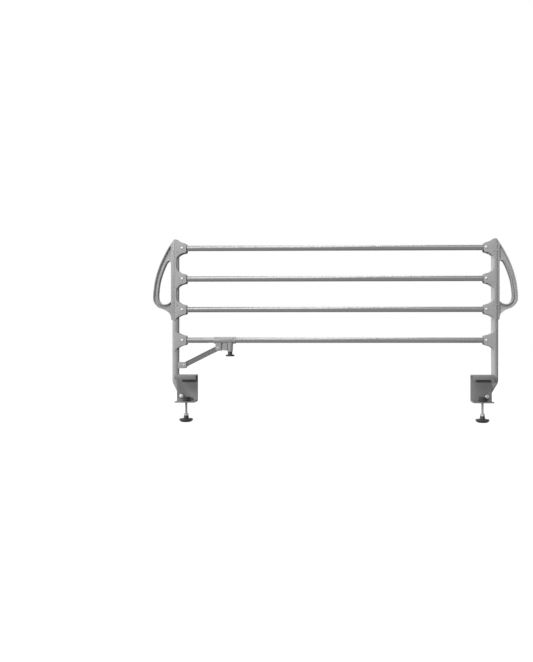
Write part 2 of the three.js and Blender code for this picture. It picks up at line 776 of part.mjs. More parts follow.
// Drawn along X from the foot pin, then tilted.
function braceArm() {
  const shape = new THREE.Shape();
  shape.absarc(0, 0, braceHalfWidth, Math.PI / 2, (3 * Math.PI) / 2, false);
  shape.absarc(braceLength, 0, braceHalfWidth, -Math.PI / 2, Math.PI / 2, false);
  const deep = braceHalfDepth + overrun;
  const body = plateXZ(shape, -braceHalfDepth, braceHalfDepth);
  const holes = [0, braceLength].map((x) => rodY(bracePinRadius + pinGap, -deep, deep, x, 0, pinSides));
  const pocket = block(
    bracePocket.fromPin, braceLength - bracePocket.fromPin, -deep, bracePocket.depth - braceHalfDepth,
    -bracePocket.halfWidth, bracePocket.halfWidth,
  );
  const tilt = THREE.MathUtils.radToDeg(braceTilt);
  return cut(body, ...holes, pocket).rotate([0, -tilt, 0]).translate([braceFoot.x, 0, braceFoot.y]);
}

function braceClevis() {
  const postX = -ends[0].pinOffset;
  const right = braceFoot.x + clevisReach;
  const low = braceFoot.y - clevisHalfHeight;
  const high = braceFoot.y + clevisHalfHeight;
  const nose = rounded([[postX, low], [right, low], [right, high], [postX, high]], clevisCorner);
  const body = plateXZ(outline(nose), -clevisHalfDepth, clevisHalfDepth);
  const room = rodZ(postRadius + seatGap, low - overrun, high + overrun, postX, tubeSides);
  const slot = block(
    braceFoot.x - braceHalfWidth - swingGap, right + overrun, -clevisSlotHalf, clevisSlotHalf,
    low - overrun, high + overrun,
  );
  const deep = clevisHalfDepth + overrun;
  const hole = rodY(bracePinRadius + pinGap, -deep, deep, braceFoot.x, braceFoot.y, pinSides);
  const behind = block(postX - postRadius - overrun, postX, -deep, deep, low - overrun, high + overrun);
  return cut(body, room, slot, hole, behind);
}

const braceFootPin = () => rivet(
  bracePinRadius, bracePinHead, -clevisHalfDepth, clevisHalfDepth, braceFoot.x, braceFoot.y, pinSides,
);

// The upper brace pin is two studs, one in each cheek, that stop at the cheeks' inner faces.
const braceEyeStud = (out) => blindRivet(
  bracePinRadius, bracePinHead, out * clevisHalfDepth, out, clevisHalfDepth - clevisSlotHalf + seatGap,
  eyeX, -eyeDrop, pinSides,
);

function sliderBody() {
  const left = eyeX - sleeveBefore;
  const right = eyeX + sleeveAfter;
  const bottom = -eyeDrop - eyeBlock.below;
  const sleeve = rodX(sleeveRadius, left, right, tubeSides);
  const cheekStart = eyeX - eyeBlock.before;
  const cheekOutline = outline([
    ...rounded([[cheekStart, 0], [cheekStart, bottom], [eyeBlockEnd, bottom]], eyeBlock.corner),
    [eyeBlockEnd, 0],
  ]);
  const cheeks = plateXZ(cheekOutline, -clevisHalfDepth, clevisHalfDepth);
  const link = block(
    eyeBlockEnd - overrun, ribBlockStart + overrun, -linkWeb.halfDepth, linkWeb.halfDepth, bottom + linkWeb.inset, 0,
  );
  const ribs = block(
    ribBlockStart, ribBlockEnd + overrun, -ribBlock.halfDepth, ribBlock.halfDepth, bottom + ribBlock.groove, 0,
  );
  const shell = turnedZ([[0, 0], [barrel.top, 0], [barrel.top, -sleeveRadius], [barrel.foot, barrelFootZ],
    [0, barrelFootZ]], tubeSides).translate([plungerX, 0, 0]);
  const body = join(sleeve, cheeks, link, ribs, shell);
  const bore = rodX(tubeRadius + sleeveGap, left - overrun, right + overrun, tubeSides);
  const slot = block(
    cheekStart - overrun, eyeBlockEnd - eyeBlock.wall, -clevisSlotHalf, clevisSlotHalf, bottom - overrun,
    eyeBlock.roof - eyeDrop,
  );
  const deep = clevisHalfDepth + overrun;
  const eye = rodY(bracePinRadius + pinGap, -deep, deep, eyeX, -eyeDrop, pinSides);
  const chamber = rodZ(barrel.bore, barrelFootZ - overrun, boreRoofZ, plungerX, screwSides);
  const guide = rodZ(barrel.guide, boreRoofZ - overrun, 0, plungerX, pinSides);
  return cut(body, bore, slot, eye, chamber, guide, ...ribGrooves(bottom));
}

// Level grooves across the front and rear of the ribbed block.
function ribGrooves(bottom) {
  const room = -sleeveRadius - bottom;
  const step = room / (ribBlock.grooves + 1);
  const face = ribBlock.halfDepth - ribBlock.grooveDepth;
  const grooves = [];
  for (let i = 1; i <= ribBlock.grooves; i += 1) {
    const z = bottom + i * step;
    for (const side of [-1, 1]) {
      const [near, far] = side < 0 ? [-ribBlock.halfDepth - overrun, -face] : [face, ribBlock.halfDepth + overrun];
      grooves.push(block(
        ribBlockStart - overrun, ribBlockEnd - overrun, near, far, z - ribBlock.groove / 2, z + ribBlock.groove / 2,
      ));
    }
  }
  return grooves;
}

function sliderCollar() {
  const start = eyeX + sleeveAfter + seatGap;
  const ring = cut(
    rodX(collarRadius, start, start + collarLength, tubeSides),
    rodX(tubeRadius + sleeveGap, start - overrun, start + collarLength + overrun, tubeSides),
  );
  return ring;
}

const retainerTopZ = barrelFootZ + retainer.recess + retainer.thickness;
const collarTopZ = boreRoofZ - seatGap;
const springTopZ = collarTopZ - lockPin.collarHeight - seatGap;
const springFootZ = retainerTopZ + seatGap;

function plungerRetainer() {
  return turnedZ(ringProfile(
    retainer.hole, barrel.bore - seatGap, barrelFootZ + retainer.recess, retainerTopZ,
  ), screwSides).translate([plungerX, 0, 0]);
}

const pullKnobTopZ = barrelFootZ - seatGap;
const pullKnobRimZ = pullKnobTopZ - pullKnob.neckHeight;

function lockPinBody() {
  const tip = lockPin.intoTube - tubeRadius;
  const foot = pullKnobTopZ - pullKnob.socket + seatGap;
  return turnedZ([
    [0, tip], [lockPin.radius, tip], [lockPin.radius, collarTopZ], [lockPin.collar, collarTopZ],
    [lockPin.collar, collarTopZ - lockPin.collarHeight], [lockPin.radius, collarTopZ - lockPin.collarHeight],
    [lockPin.radius, foot], [0, foot],
  ], screwSides).translate([plungerX, 0, 0]);
}

function pullKnobBody() {
  const bore = lockPin.radius + seatGap;
  const foot = pullKnobRimZ - pullKnob.height;
  return turnedZ([
    [bore, pullKnobTopZ], [pullKnob.neck, pullKnobTopZ], [pullKnob.neck, pullKnobRimZ],
    [pullKnob.radius - pullKnob.round, pullKnobRimZ], [pullKnob.radius, pullKnobRimZ - pullKnob.round],
    [pullKnob.radius, foot + pullKnob.round], [pullKnob.radius - pullKnob.round, foot], [0, foot],
    [0, pullKnobTopZ - pullKnob.socket], [bore, pullKnobTopZ - pullKnob.socket], [bore, pullKnobTopZ],
  ], tubeSides).translate([plungerX, 0, 0]);
}

// One unbroken wire that climbs round the lock pin.
function plungerSpring() {
  const low = springFootZ + spring.wire;
  const high = springTopZ - spring.wire;
  const rings = spring.curls * spring.stepsPerCurl;
  const positions = [];
  const index = [];
  for (let i = 0; i <= rings; i += 1) {
    const turn = (2 * Math.PI * i) / spring.stepsPerCurl;
    const z = low + ((high - low) * i) / rings;
    for (let k = 0; k < spring.sides; k += 1) {
      const roll = (2 * Math.PI * k) / spring.sides;
      const reach = spring.radius + spring.wire * Math.cos(roll);
      positions.push(
        plungerX + reach * Math.cos(turn), reach * Math.sin(turn), z + spring.wire * Math.sin(roll),
      );
      if (i < rings) {
        const a = i * spring.sides + k;
        const b = i * spring.sides + ((k + 1) % spring.sides);
        index.push(a, b, a + spring.sides, b, b + spring.sides, a + spring.sides);
      }
    }
  }
  for (let k = 1; k < spring.sides - 1; k += 1) {
    const last = rings * spring.sides;
    index.push(0, k + 1, k, last, last + k, last + k + 1);
  }
  const geometry = new THREE.BufferGeometry();
  geometry.setAttribute('position', new THREE.Float32BufferAttribute(positions, 3));
  geometry.setIndex(index);
  return solid(geometry);
}

// Assembly

const guardRail = new THREE.Group();

function add(group, name, material, body, inboard = 1) {
  let geometry = geometryOf(body);
  if (inboard < 0) {
    geometry.scale(-1, 1, 1);
    geometry = closed(geometry);
  }
  const mesh = new THREE.Mesh(geometry, materials[material]);
  mesh.name = name;
  group.add(mesh);
}

function placedGroup(x, y, z) {
  const group = new THREE.Group();
  group.position.set(x, y, z);
  guardRail.add(group);
  return group;
}

for (const end of ends) {
  const side = end.inboard;
  const post = placedGroup(end.post, railY, 0);
  add(post, `${end.name}_post_tube`, 'post', postTube(end), side);
  add(post, `${end.name}_handle`, 'casting', handle(), side);
  add(post, `${end.name}_upper_lugs`, 'casting', upperLugs(end), side);
  add(post, `${end.name}_lower_lug`, 'casting', lowerLug(end), side);
  for (const place of castingRivetPlaces()) {
    add(post, `${end.name}_${place.casting}_${place.level}_rivet`, 'darkSteel', castingRivet(place), side);
  }
  add(post, `${end.name}_lower_lug_rivet`, 'darkSteel', lowerLugRivet(), side);
  tubeZ.forEach((z, i) => add(post, `${end.name}_${tubeNames[i]}_tube_pin`, 'steel', tubePin(end, z), side));

  const clamp = placedGroup(end.bracket, 0, 0);
  add(clamp, `${end.name}_clamp_bracket`, 'bracket', clampBracket(), side);
  add(clamp, `${end.name}_pivot_bolt`, 'steel', pivotBolt(), side);
  add(clamp, `${end.name}_pivot_washer`, 'steel', pivotWasherBody(), side);
  add(clamp, `${end.name}_pivot_spacer`, 'nylon', pivotSpacer(), side);
  add(clamp, `${end.name}_pivot_lock_nut`, 'steel', pivotLockNut(), side);
  add(clamp, `${end.name}_clamp_pad`, 'rubber', clampPad(), side);
  add(clamp, `${end.name}_clamp_screw`, 'steel', clampScrew(), side);
  add(clamp, `${end.name}_knob_nut`, 'steel', knobNutBody(), side);
  add(clamp, `${end.name}_clamp_knob`, 'black', clampKnob(), side);
}

tubeZ.forEach((z, i) => {
  const row = placedGroup(ends[0].pivot, railY, z);
  add(row, `${tubeNames[i]}_rail_tube`, 'tube', i === 0 ? slottedTube() : railTube());
});

const lock = placedGroup(ends[0].pivot, railY, bottomTubeHeight);
add(lock, 'brace_clevis', 'casting', braceClevis());
add(lock, 'brace_foot_pin', 'steel', braceFootPin());
add(lock, 'brace_arm', 'darkSteel', braceArm());
add(lock, 'brace_eye_stud_front', 'steel', braceEyeStud(-1));
add(lock, 'brace_eye_stud_rear', 'steel', braceEyeStud(1));
add(lock, 'slider_body', 'slider', sliderBody());
add(lock, 'slider_collar', 'nylon', sliderCollar());
add(lock, 'plunger_retainer', 'nylon', plungerRetainer());
add(lock, 'lock_pin', 'steel', lockPinBody());
add(lock, 'plunger_spring', 'steel', plungerSpring());
add(lock, 'pull_knob', 'black', pullKnobBody());

export default guardRail;
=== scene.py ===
"""The looks of a folding bed guard rail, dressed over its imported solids.

Metres, +Z up, X along the rail, the bed on the -Y side. The origin is the middle of the left hook's underside.
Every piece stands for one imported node, sits where it is, and rides on the same body.
"""

import json
import logging
import math
from dataclasses import dataclass
from enum import Enum
from typing import Callable, Sequence

import bpy
import numpy as np
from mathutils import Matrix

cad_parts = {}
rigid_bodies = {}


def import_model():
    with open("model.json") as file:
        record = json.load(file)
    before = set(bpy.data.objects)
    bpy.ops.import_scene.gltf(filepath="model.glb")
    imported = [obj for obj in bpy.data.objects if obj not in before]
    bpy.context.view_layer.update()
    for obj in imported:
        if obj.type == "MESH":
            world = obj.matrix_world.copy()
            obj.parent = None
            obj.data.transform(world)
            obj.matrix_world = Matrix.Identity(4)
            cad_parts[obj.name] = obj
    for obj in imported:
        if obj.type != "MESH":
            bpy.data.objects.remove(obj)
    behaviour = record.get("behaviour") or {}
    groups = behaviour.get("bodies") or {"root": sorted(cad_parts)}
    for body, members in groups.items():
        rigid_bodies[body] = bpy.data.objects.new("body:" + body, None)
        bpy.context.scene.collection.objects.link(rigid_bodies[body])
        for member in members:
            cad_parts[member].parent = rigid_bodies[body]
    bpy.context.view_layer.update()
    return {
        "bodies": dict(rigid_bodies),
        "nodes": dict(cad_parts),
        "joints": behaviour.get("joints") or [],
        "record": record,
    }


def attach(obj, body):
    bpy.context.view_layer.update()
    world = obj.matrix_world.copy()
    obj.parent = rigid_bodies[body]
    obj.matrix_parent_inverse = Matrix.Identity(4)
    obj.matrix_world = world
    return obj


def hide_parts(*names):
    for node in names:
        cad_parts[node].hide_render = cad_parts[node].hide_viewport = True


log = logging.getLogger("bed_rail")

Array = np.ndarray
Place = Callable[[Array], Array]

SHARP = 1e-4  # radius of a corner that stays all but sharp
POLE = 1e-5  # least radius of a ring round a pole
PAST = 0.01  # how far a tool runs past the piece that it works
FAR = 0.1  # the same, where nothing else stands near
TINY = 1e-12  # least length that is divided by
STRAIGHT = 1e-9  # a corner whose two unit sides add up to less is straight
MITRE = 0.6  # least cosine of half a corner's turn, which bounds how far its move is lengthened
ROLL = 0.6  # a block's front and rear edges, as a share of its outline's easing


class Axis(Enum):
    """Names the axis that a turned piece is spun about."""

    X = "x"
    Y = "y"
    Z = "z"


class Join(Enum):
    """Names the ways in which one blank is worked with another."""

    ADD = "UNION"
    CUT = "DIFFERENCE"
    KEEP = "INTERSECT"


# Lines and outlines


def quarter(steps: int) -> Array:
    """Even angles over a quarter circle, both ends among them."""
    return np.linspace(0.0, np.pi / 2, steps + 1)


def corners(x: Sequence, z: Sequence) -> Array:
    """The corners of a rectangle, anticlockwise from its lowest values."""
    return np.array([[x[0], z[0]], [x[1], z[0]], [x[1], z[1]], [x[0], z[1]]])


def rounded(line: Sequence, radius: float | Sequence, steps: int = 8, loop: bool = True) -> Array:
    """Rounds the corners of a line with arcs.

    Each corner becomes an arc of the radius about the point where both offset sides meet.

    Args:
        line: Points of the line, in order.
        radius: One radius, or one for each corner.
        steps: Chords of each arc.
        loop: Whether the line closes on itself. An open line keeps its two ends.

    Returns:
        The points of the rounded line.
    """
    points = np.asarray(line, float)
    back = np.roll(points, 1, axis=0) - points
    ahead = np.roll(points, -1, axis=0) - points
    back /= np.linalg.norm(back, axis=1, keepdims=True)
    ahead /= np.linalg.norm(ahead, axis=1, keepdims=True)
    half = np.arccos(np.clip((back * ahead).sum(axis=1), -1.0, 1.0)) / 2
    reach = np.broadcast_to(radius, half.shape)[:, None]
    middle = back + ahead
    length = np.linalg.norm(middle, axis=1, keepdims=True)
    middle = middle / np.where(length > STRAIGHT, length, 1.0)
    centre = points + middle * reach / np.sin(half)[:, None]
    start = points + back * reach / np.tan(half)[:, None] - centre
    finish = points + ahead * reach / np.tan(half)[:, None] - centre
    turn = np.arctan2(start[:, 0] * finish[:, 1] - start[:, 1] * finish[:, 0], (start * finish).sum(axis=1))
    angle = turn[:, None] * np.linspace(0.0, 1.0, steps + 1)
    x = centre[:, :1] + start[:, :1] * np.cos(angle) - start[:, 1:] * np.sin(angle)
    y = centre[:, 1:] + start[:, :1] * np.sin(angle) + start[:, 1:] * np.cos(angle)
    arcs = np.stack([x, y], axis=-1)
    if loop:
        return arcs.reshape(-1, 2)
    return np.concatenate([points[:1], arcs[1:-1].reshape(-1, 2), points[-1:]])


def eased(rows: Sequence, steps: int = 5) -> Array:
    """Rounds an open line that is given as rows of two coordinates and the radius of that corner."""
    table = np.asarray(rows, float)
    return rounded(table[:, :2], table[:, 2], steps, False)


def bezier(controls: Sequence, steps: int) -> Array:
    """Points of a Bezier curve: the controls weighted by the Bernstein shares of its degree.

    Args:
        controls: The end points with the control points between them.
        steps: Chords of the curve.

    Returns:
        The points, both ends among them.
    """
    points = np.asarray(controls, float)
    degree = len(points) - 1
    t = np.linspace(0.0, 1.0, steps + 1)[:, None]
    k = np.arange(degree + 1)
    choose = np.array([math.comb(degree, i) for i in k])
    return (choose * t**k * (1 - t) ** (degree - k)) @ points


def smooth_line(points: Array, steps: int = 12) -> Array:
    """Runs a Catmull-Rom curve through points: on each span a cubic that leaves along its neighbours' chord.

    Args:
        points: The points that the curve passes.
        steps: Chords of each span.

    Returns:
        The points of the curve.
    """
    before = np.concatenate([points[:1], points[:-2]])
    after = np.concatenate([points[2:], points[-1:]])
    start, end = points[:-1, None], points[1:, None]
    leave = ((end[:, 0] - before) / 2)[:, None]
    arrive = ((after - start[:, 0]) / 2)[:, None]
    t = (np.arange(steps) / steps)[None, :, None]
    cubic = (2 * start - 2 * end + leave + arrive) * t**3
    square = (3 * end - 3 * start - 2 * leave - arrive) * t**2
    return np.concatenate([(cubic + square + leave * t + start).reshape(-1, 2), points[-1:]])


def evened(line: Array, step: float) -> Array:
    """Places points on an open line at even steps along its length.

    Args:
        line: The line's points.
        step: The distance wanted between points.

    Returns:
        The evenly spaced points, both ends among them.
    """
    run = np.concatenate([[0.0], np.cumsum(np.linalg.norm(np.diff(line, axis=0), axis=1))])
    stops = np.linspace(0.0, run[-1], int(run[-1] / step) + 2)
    return np.stack([np.interp(stops, run, line[:, 0]), np.interp(stops, run, line[:, 1])], axis=1)


def anticlockwise(line: Array) -> Array:
    """Turns a closed line so that its area counts as positive.

    Args:
        line: The closed line.

    Returns:
        The same points, in reverse where the area was negative.
    """
    x, y = line[:, 0], line[:, 1]
    area = (x * np.roll(y, -1) - np.roll(x, -1) * y).sum()
    return line if area > 0 else line[::-1]


def inset(line: Array, distance: float) -> Array:
    """Moves a closed line inwards: each point along the mean of its two sides' normals, lengthened at a corner.

    Args:
        line: The closed line, anticlockwise.
        distance: How far in. A negative distance moves it out.

    Returns:
        The moved line.
    """
    back = line - np.roll(line, 1, axis=0)
    ahead = np.roll(line, -1, axis=0) - line
    back /= np.maximum(np.linalg.norm(back, axis=1, keepdims=True), TINY)
    ahead /= np.maximum(np.linalg.norm(ahead, axis=1, keepdims=True), TINY)
    along = back + ahead
    along /= np.maximum(np.linalg.norm(along, axis=1, keepdims=True), TINY)
    widen = 1 / np.maximum((along * ahead).sum(axis=1, keepdims=True), MITRE)
    inward = np.stack([-along[:, 1], along[:, 0]], axis=1)
    return line + inward * widen * distance


def normals(line: Array) -> Array:
    """Unit normals on the left of an open line: its direction turned by a quarter circle.

    Args:
        line: The line's points.

    Returns:
        One normal for each point.
    """
    along = np.gradient(line, axis=0)
    along /= np.linalg.norm(along, axis=1, keepdims=True)
    return np.stack([-along[:, 1], along[:, 0]], axis=1)


# Skins


@dataclass
class Skin:
    """One closed surface: points and faces."""

    points: Array
    faces: list[list[int]]

    def placed(self, move: Place) -> "Skin":
        """Carries the points somewhere else and keeps the faces pointing outwards."""
        return Skin(move(self.points), self.faces).outward()

    def outward(self) -> "Skin":
        """Turns every face over when the surface encloses a negative volume.

        Returns:
            The skin with its faces pointing outwards.
        """
        triangles = np.array([[f[0], f[i], f[i + 1]] for f in self.faces for i in range(1, len(f) - 1)])
        a, b, c = (self.points[triangles[:, i]] for i in range(3))
        volume = (a * np.cross(b, c)).sum()
        return self if volume > 0 else Skin(self.points, [f[::-1] for f in self.faces])

    def mesh(self, name: str) -> bpy.types.Mesh:
        """Puts the points and faces into a mesh.

        Args:
            name: The mesh's name.

        Returns:
            The mesh.
        """
        mesh = bpy.data.meshes.new(name)
        mesh.from_pydata(self.points.tolist(), [], self.faces)
        return mesh


def grid_faces(rows: int, columns: int, rows_close: bool = False) -> Array:
    """Quads between the points of a grid whose columns run round.

    Args:
        rows: Rings of points.
        columns: Points in each ring.
        rows_close: Whether the last ring joins the first.

    Returns:
        The faces, four point numbers each.
    """
    r = np.arange(rows if rows_close else rows - 1)[:, None]
    c = np.arange(columns)[None, :]
    here, beside = r * columns + c, r * columns + (c + 1) % columns
    step = (r + 1) % rows * columns
    over, over_beside = step + c, step + (c + 1) % columns
    return np.stack([here, beside, over_beside, over], axis=-1).reshape(-1, 4)


def ring_skin(rings: Array, rows_close: bool = False) -> Skin:
    """Closes a stack of rings with a skin, flat across the first and the last ring unless they join.

    Args:
        rings: Points in an array of rings, points in a ring, and X, Y and Z.
        rows_close: Whether the last ring joins the first.

    Returns:
        The closed skin.
    """
    rows, columns = rings.shape[:2]
    faces = grid_faces(rows, columns, rows_close).tolist()
    if not rows_close:
        faces.append(list(range(columns))[::-1])
        faces.append(list(range((rows - 1) * columns, rows * columns)))
    return Skin(rings.reshape(-1, 3), faces).outward()


def spin(profile: Sequence, sides: int, axis: Axis = Axis.Z, centre: Sequence = (0, 0, 0), ring: bool = False) -> Skin:
    """Turns a profile round an axis: each point runs round a circle of its radius at its height.

    Args:
        profile: Radius and height of each point, from one end to the other.
        sides: Points in each circle.
        axis: The axis that it is turned about.
        centre: Where the profile's zero lies.
        ring: Whether the profile closes on itself, as a washer's does.

    Returns:
        The closed skin.
    """
    p = np.asarray(profile, float)
    angle = np.arange(sides) * 2 * np.pi / sides
    radius = np.repeat(np.maximum(p[:, :1], 0.0 if ring else POLE), sides, axis=1)
    across, up = radius * np.cos(angle), radius * np.sin(angle)
    along = np.repeat(p[:, 1:], sides, axis=1)
    order = {Axis.X: (along, across, up), Axis.Y: (across, along, up), Axis.Z: (across, up, along)}[axis]
    return ring_skin(np.stack(order, axis=-1) + np.asarray(centre, float), ring)


def shaft(radius: float, low: float, high: float, sides: int, axis: Axis = Axis.Z,
          centre: Sequence = (0, 0, 0)) -> Skin:
    """A straight round solid between two heights on an axis, which as a tool bores a hole."""
    return spin([[0, low], [radius, low], [radius, high], [0, high]], sides, axis, centre)


def slab(line: Array, low: float, high: float, soft: float = 0.0, steps: int = 4) -> Skin:
    """Carries an outline in X and Z from one Y to another and rolls both edges over by a quarter circle.

    Args:
        line: The closed outline.
        low: The nearest Y.
        high: The furthest Y.
        soft: Radius of the rolled edges.
        steps: Chords of each rolled edge.

    Returns:
        The closed skin.
    """
    line = anticlockwise(line)
    turn = quarter(steps) if soft else np.array([np.pi / 2])
    inward, rise = soft * (1 - np.sin(turn)), soft * (1 - np.cos(turn))
    depths = np.concatenate([low + rise, (high - rise)[::-1]])
    edges = [inset(line, distance) for distance in np.concatenate([inward, inward[::-1]])]
    return ring_skin(np.stack([np.insert(edge, 1, y, axis=1) for edge, y in zip(edges, depths)]))


def upright(line: Array, low: float, high: float) -> Skin:
    """Carries an outline in X and Y from one Z to another."""
    return slab(line, low, high).placed(lambda p: p[:, [0, 2, 1]])


def block(x: Sequence, y: Sequence, z: Sequence, soft: float = 0.0) -> Skin:
    """A block between two values on each axis, with the edges round its X and Z outline eased."""
    line = rounded(corners(x, z), soft, steps=3) if soft else corners(x, z)
    return slab(line, y[0], y[1], soft * ROLL, steps=2)


def rib(line: Array, section: Array, side: int) -> Skin:
    """Carries a section along an open line in X and Z: its first size runs to one side, its second along Y.

    Args:
        line: The open line.
        section: Points round the section.
        side: 1 when the section lies left of the line's direction, -1 when right.

    Returns:
        The closed skin.
    """
    flat = line[:, None] + normals(line)[:, None] * side * section[None, :, :1]
    depth = np.broadcast_to(section[None, :, 1], flat.shape[:2])
    return ring_skin(np.stack([flat[..., 0], depth, flat[..., 1]], axis=-1))


def rod(path: Array, radius: float, sides: int, up: Sequence = (0, 1, 0), soft: float = 0.0) -> Skin:
    """Carries a circle along a path: across it lies the path's direction crossed with the upward one.

    Args:
        path: Points of the middle line.
        radius: Radius of the circle.
        sides: Points in the circle.
        up: A direction that the path never follows.
        soft: Radius of the rounding at both ends.

    Returns:
        The closed skin.
    """
    radii = np.full(len(path), float(radius))
    if soft:
        first = (path[1] - path[0]) / np.linalg.norm(path[1] - path[0])
        last = (path[-1] - path[-2]) / np.linalg.norm(path[-1] - path[-2])
        turn = quarter(steps=4)
        back, narrow = soft * (1 - np.sin(turn))[:, None], soft * (1 - np.cos(turn))
        path = np.concatenate([path[0] + first * back, path[1:-1], path[-1] - last * back[::-1]])
        radii = np.maximum(np.concatenate([radius - narrow[::-1], radii[1:-1], radius - narrow]), POLE)
    along = np.gradient(path, axis=0)
    along /= np.linalg.norm(along, axis=1, keepdims=True)
    side = np.cross(along, np.asarray(up, float))
    side /= np.linalg.norm(side, axis=1, keepdims=True)
    top = np.cross(side, along)
    angle = np.arange(sides) * 2 * np.pi / sides
    circle = np.cos(angle)[None, :, None] * side[:, None] + np.sin(angle)[None, :, None] * top[:, None]
    return ring_skin(path[:, None] + circle * radii[:, None, None])


def domed_head(head: Sequence, face: float, dish: Sequence) -> Array:
    """Profile of a rivet's head: a quarter of an ellipse that ends in a flat set in its middle.

    Args:
        head: Radius and height of the head.
        face: Height of the face that it sits on.
        dish: Points of the set, as shares of the radius and of the height.

    Returns:
        Radius and height of each point, from the head's edge to its middle.
    """
    turn = quarter(steps=7)[:-1]
    dome = np.stack([head[0] * np.cos(turn), face + head[1] * np.sin(turn)], axis=1)
    return np.concatenate([dome, np.asarray(dish) * head + [0, face]])


# Finishes


def fill(tree: bpy.types.NodeTree, node: bpy.types.Node, sockets: dict) -> bpy.types.Node:
    """Sets a node's inputs: a socket is linked to the input, and anything else becomes its value.

    Args:
        tree: The node tree.
        node: The node.
        sockets: What each input gets, by its name or number.

    Returns:
        The node itself.
    """
    for name, value in sockets.items():
        if isinstance(value, bpy.types.NodeSocket):
            tree.links.new(value, node.inputs[name])
        else:
            node.inputs[name].default_value = value
    return node


def added(tree: bpy.types.NodeTree, kind: str, sockets: dict, **settings: str | int) -> bpy.types.Node:
    """Adds a shader node.

    Args:
        tree: The node tree.
        kind: The node's type, without the words ShaderNode before it.
        sockets: What each input gets, by its name or number.
        settings: The node's own settings.

    Returns:
        The node.
    """
    node = tree.nodes.new(f"ShaderNode{kind}")
    for name, value in settings.items():
        setattr(node, name, value)
    return fill(tree, node, sockets)


def spread_over(tree: bpy.types.NodeTree, value: bpy.types.NodeSocket, low: float, high: float) -> bpy.types.NodeSocket:
    """Stretches a value that runs from 0 to 1 over another range."""
    return added(tree, "MapRange", {"Value": value, "To Min": low, "To Max": high}).outputs["Result"]


@dataclass(frozen=True)
class Finish:
    """A surface finish: a colour mottled broadly and finely, a gloss that follows the broad and a height the fine."""

    name: str
    colour: tuple[float, float, float]
    roughness: float
    metallic: float = 0.0
    mottle: float = 0.12
    mottle_scale: float = 45.0
    grain: float = 0.1
    grain_scale: float = 900.0
    height: float = 0.00008
    stretch: tuple[float, float, float] = (1.0, 1.0, 1.0)
    specular: float = 0.5
    edge_highlight: float = 0.0
    # share by which rounded edges are painted lighter, a painted highlight
    noise_detail: tuple[float, float] = (5.0, 2.0)
    gloss_swing: tuple[float, float] = (0.8, 1.25)  # how far the mottling moves the roughness
    least_roughness: float = 0.02
    bump: float = 0.5
    highlight_width: float = 0.0009
    highlight_turn: tuple[float, float] = (0.99, 0.8)  # cosines of an edge's turn where the painted edge highlight starts and is full
    highlight_gain: float = 1.6
    highlight_lift: float = 0.04

    def material(self) -> bpy.types.Material:
        """Builds the node tree.

        Colour: the base multiplied by a broad and by a fine noise, each stretched to run evenly about 1.
        Gloss: the roughness moved by the broad noise. Height: the fine noise through a bump.

        Returns:
            The material.
        """
        made = bpy.data.materials.new(self.name)
        made.use_nodes = True
        tree = made.node_tree
        place = added(tree, "TexCoord", {}).outputs["Object"]
        spread = added(tree, "Mapping", {"Vector": place, "Scale": self.stretch}).outputs["Vector"]
        broad, fine = (added(tree, "TexNoise", {"Vector": spread, "Scale": scale, "Detail": detail}).outputs["Fac"]
                       for scale, detail in zip((self.mottle_scale, self.grain_scale), self.noise_detail))
        tone = spread_over(tree, broad, 1 - self.mottle, 1 + self.mottle)
        speck = spread_over(tree, fine, 1 - self.grain, 1 + self.grain)
        both = added(tree, "Math", {0: tone, 1: speck}, operation="MULTIPLY").outputs["Value"]
        colour = added(tree, "Mix", {"Factor": 1.0, "A": (*self.colour, 1.0), "B": both},
                       data_type="RGBA", blend_type="MULTIPLY").outputs["Result"]
        gloss, matt = (self.roughness * swing for swing in self.gloss_swing)
        bump = added(tree, "Bump", {"Strength": self.bump, "Distance": self.height, "Height": fine})
        fill(tree, tree.nodes["Principled BSDF"], {
            # rounded edges get a painted highlight where the finish sets one
            "Base Color": self.edges(tree, colour) if self.edge_highlight else colour,
            "Roughness": spread_over(tree, broad, max(gloss, self.least_roughness), min(matt, 1.0)),
            "Normal": bump.outputs["Normal"],
            "Metallic": self.metallic,
            "Specular IOR Level": self.specular,
        })
        return made

    def edges(self, tree: bpy.types.NodeTree, colour: bpy.types.NodeSocket) -> bpy.types.NodeSocket:
        """Paints a highlight on rounded edges: lightens the colour where an edge turns away from its face, as light
        catching it would.

        Args:
            tree: The material's node tree.
            colour: The colour before the painted edge highlight.

        Returns:
            The worn colour.
        """
        bevel = added(tree, "Bevel", {"Radius": self.highlight_width}, samples=4).outputs["Normal"]
        face = added(tree, "NewGeometry", {}).outputs["Normal"]
        match = added(tree, "VectorMath", {0: bevel, 1: face}, operation="DOT_PRODUCT").outputs["Value"]
        start, full = self.highlight_turn
        amount = added(tree, "MapRange", {"Value": match, "From Min": start, "From Max": full, "To Max": self.edge_highlight})
        highlit_colour = (*(min(c * self.highlight_gain + self.highlight_lift, 1.0) for c in self.colour), 1.0)
        highlight_mix = added(tree, "Mix", {}, data_type="RGBA")
        return fill(tree, highlight_mix, {"B": highlit_colour, "Factor": amount.outputs["Result"], "A": colour}).outputs["Result"]


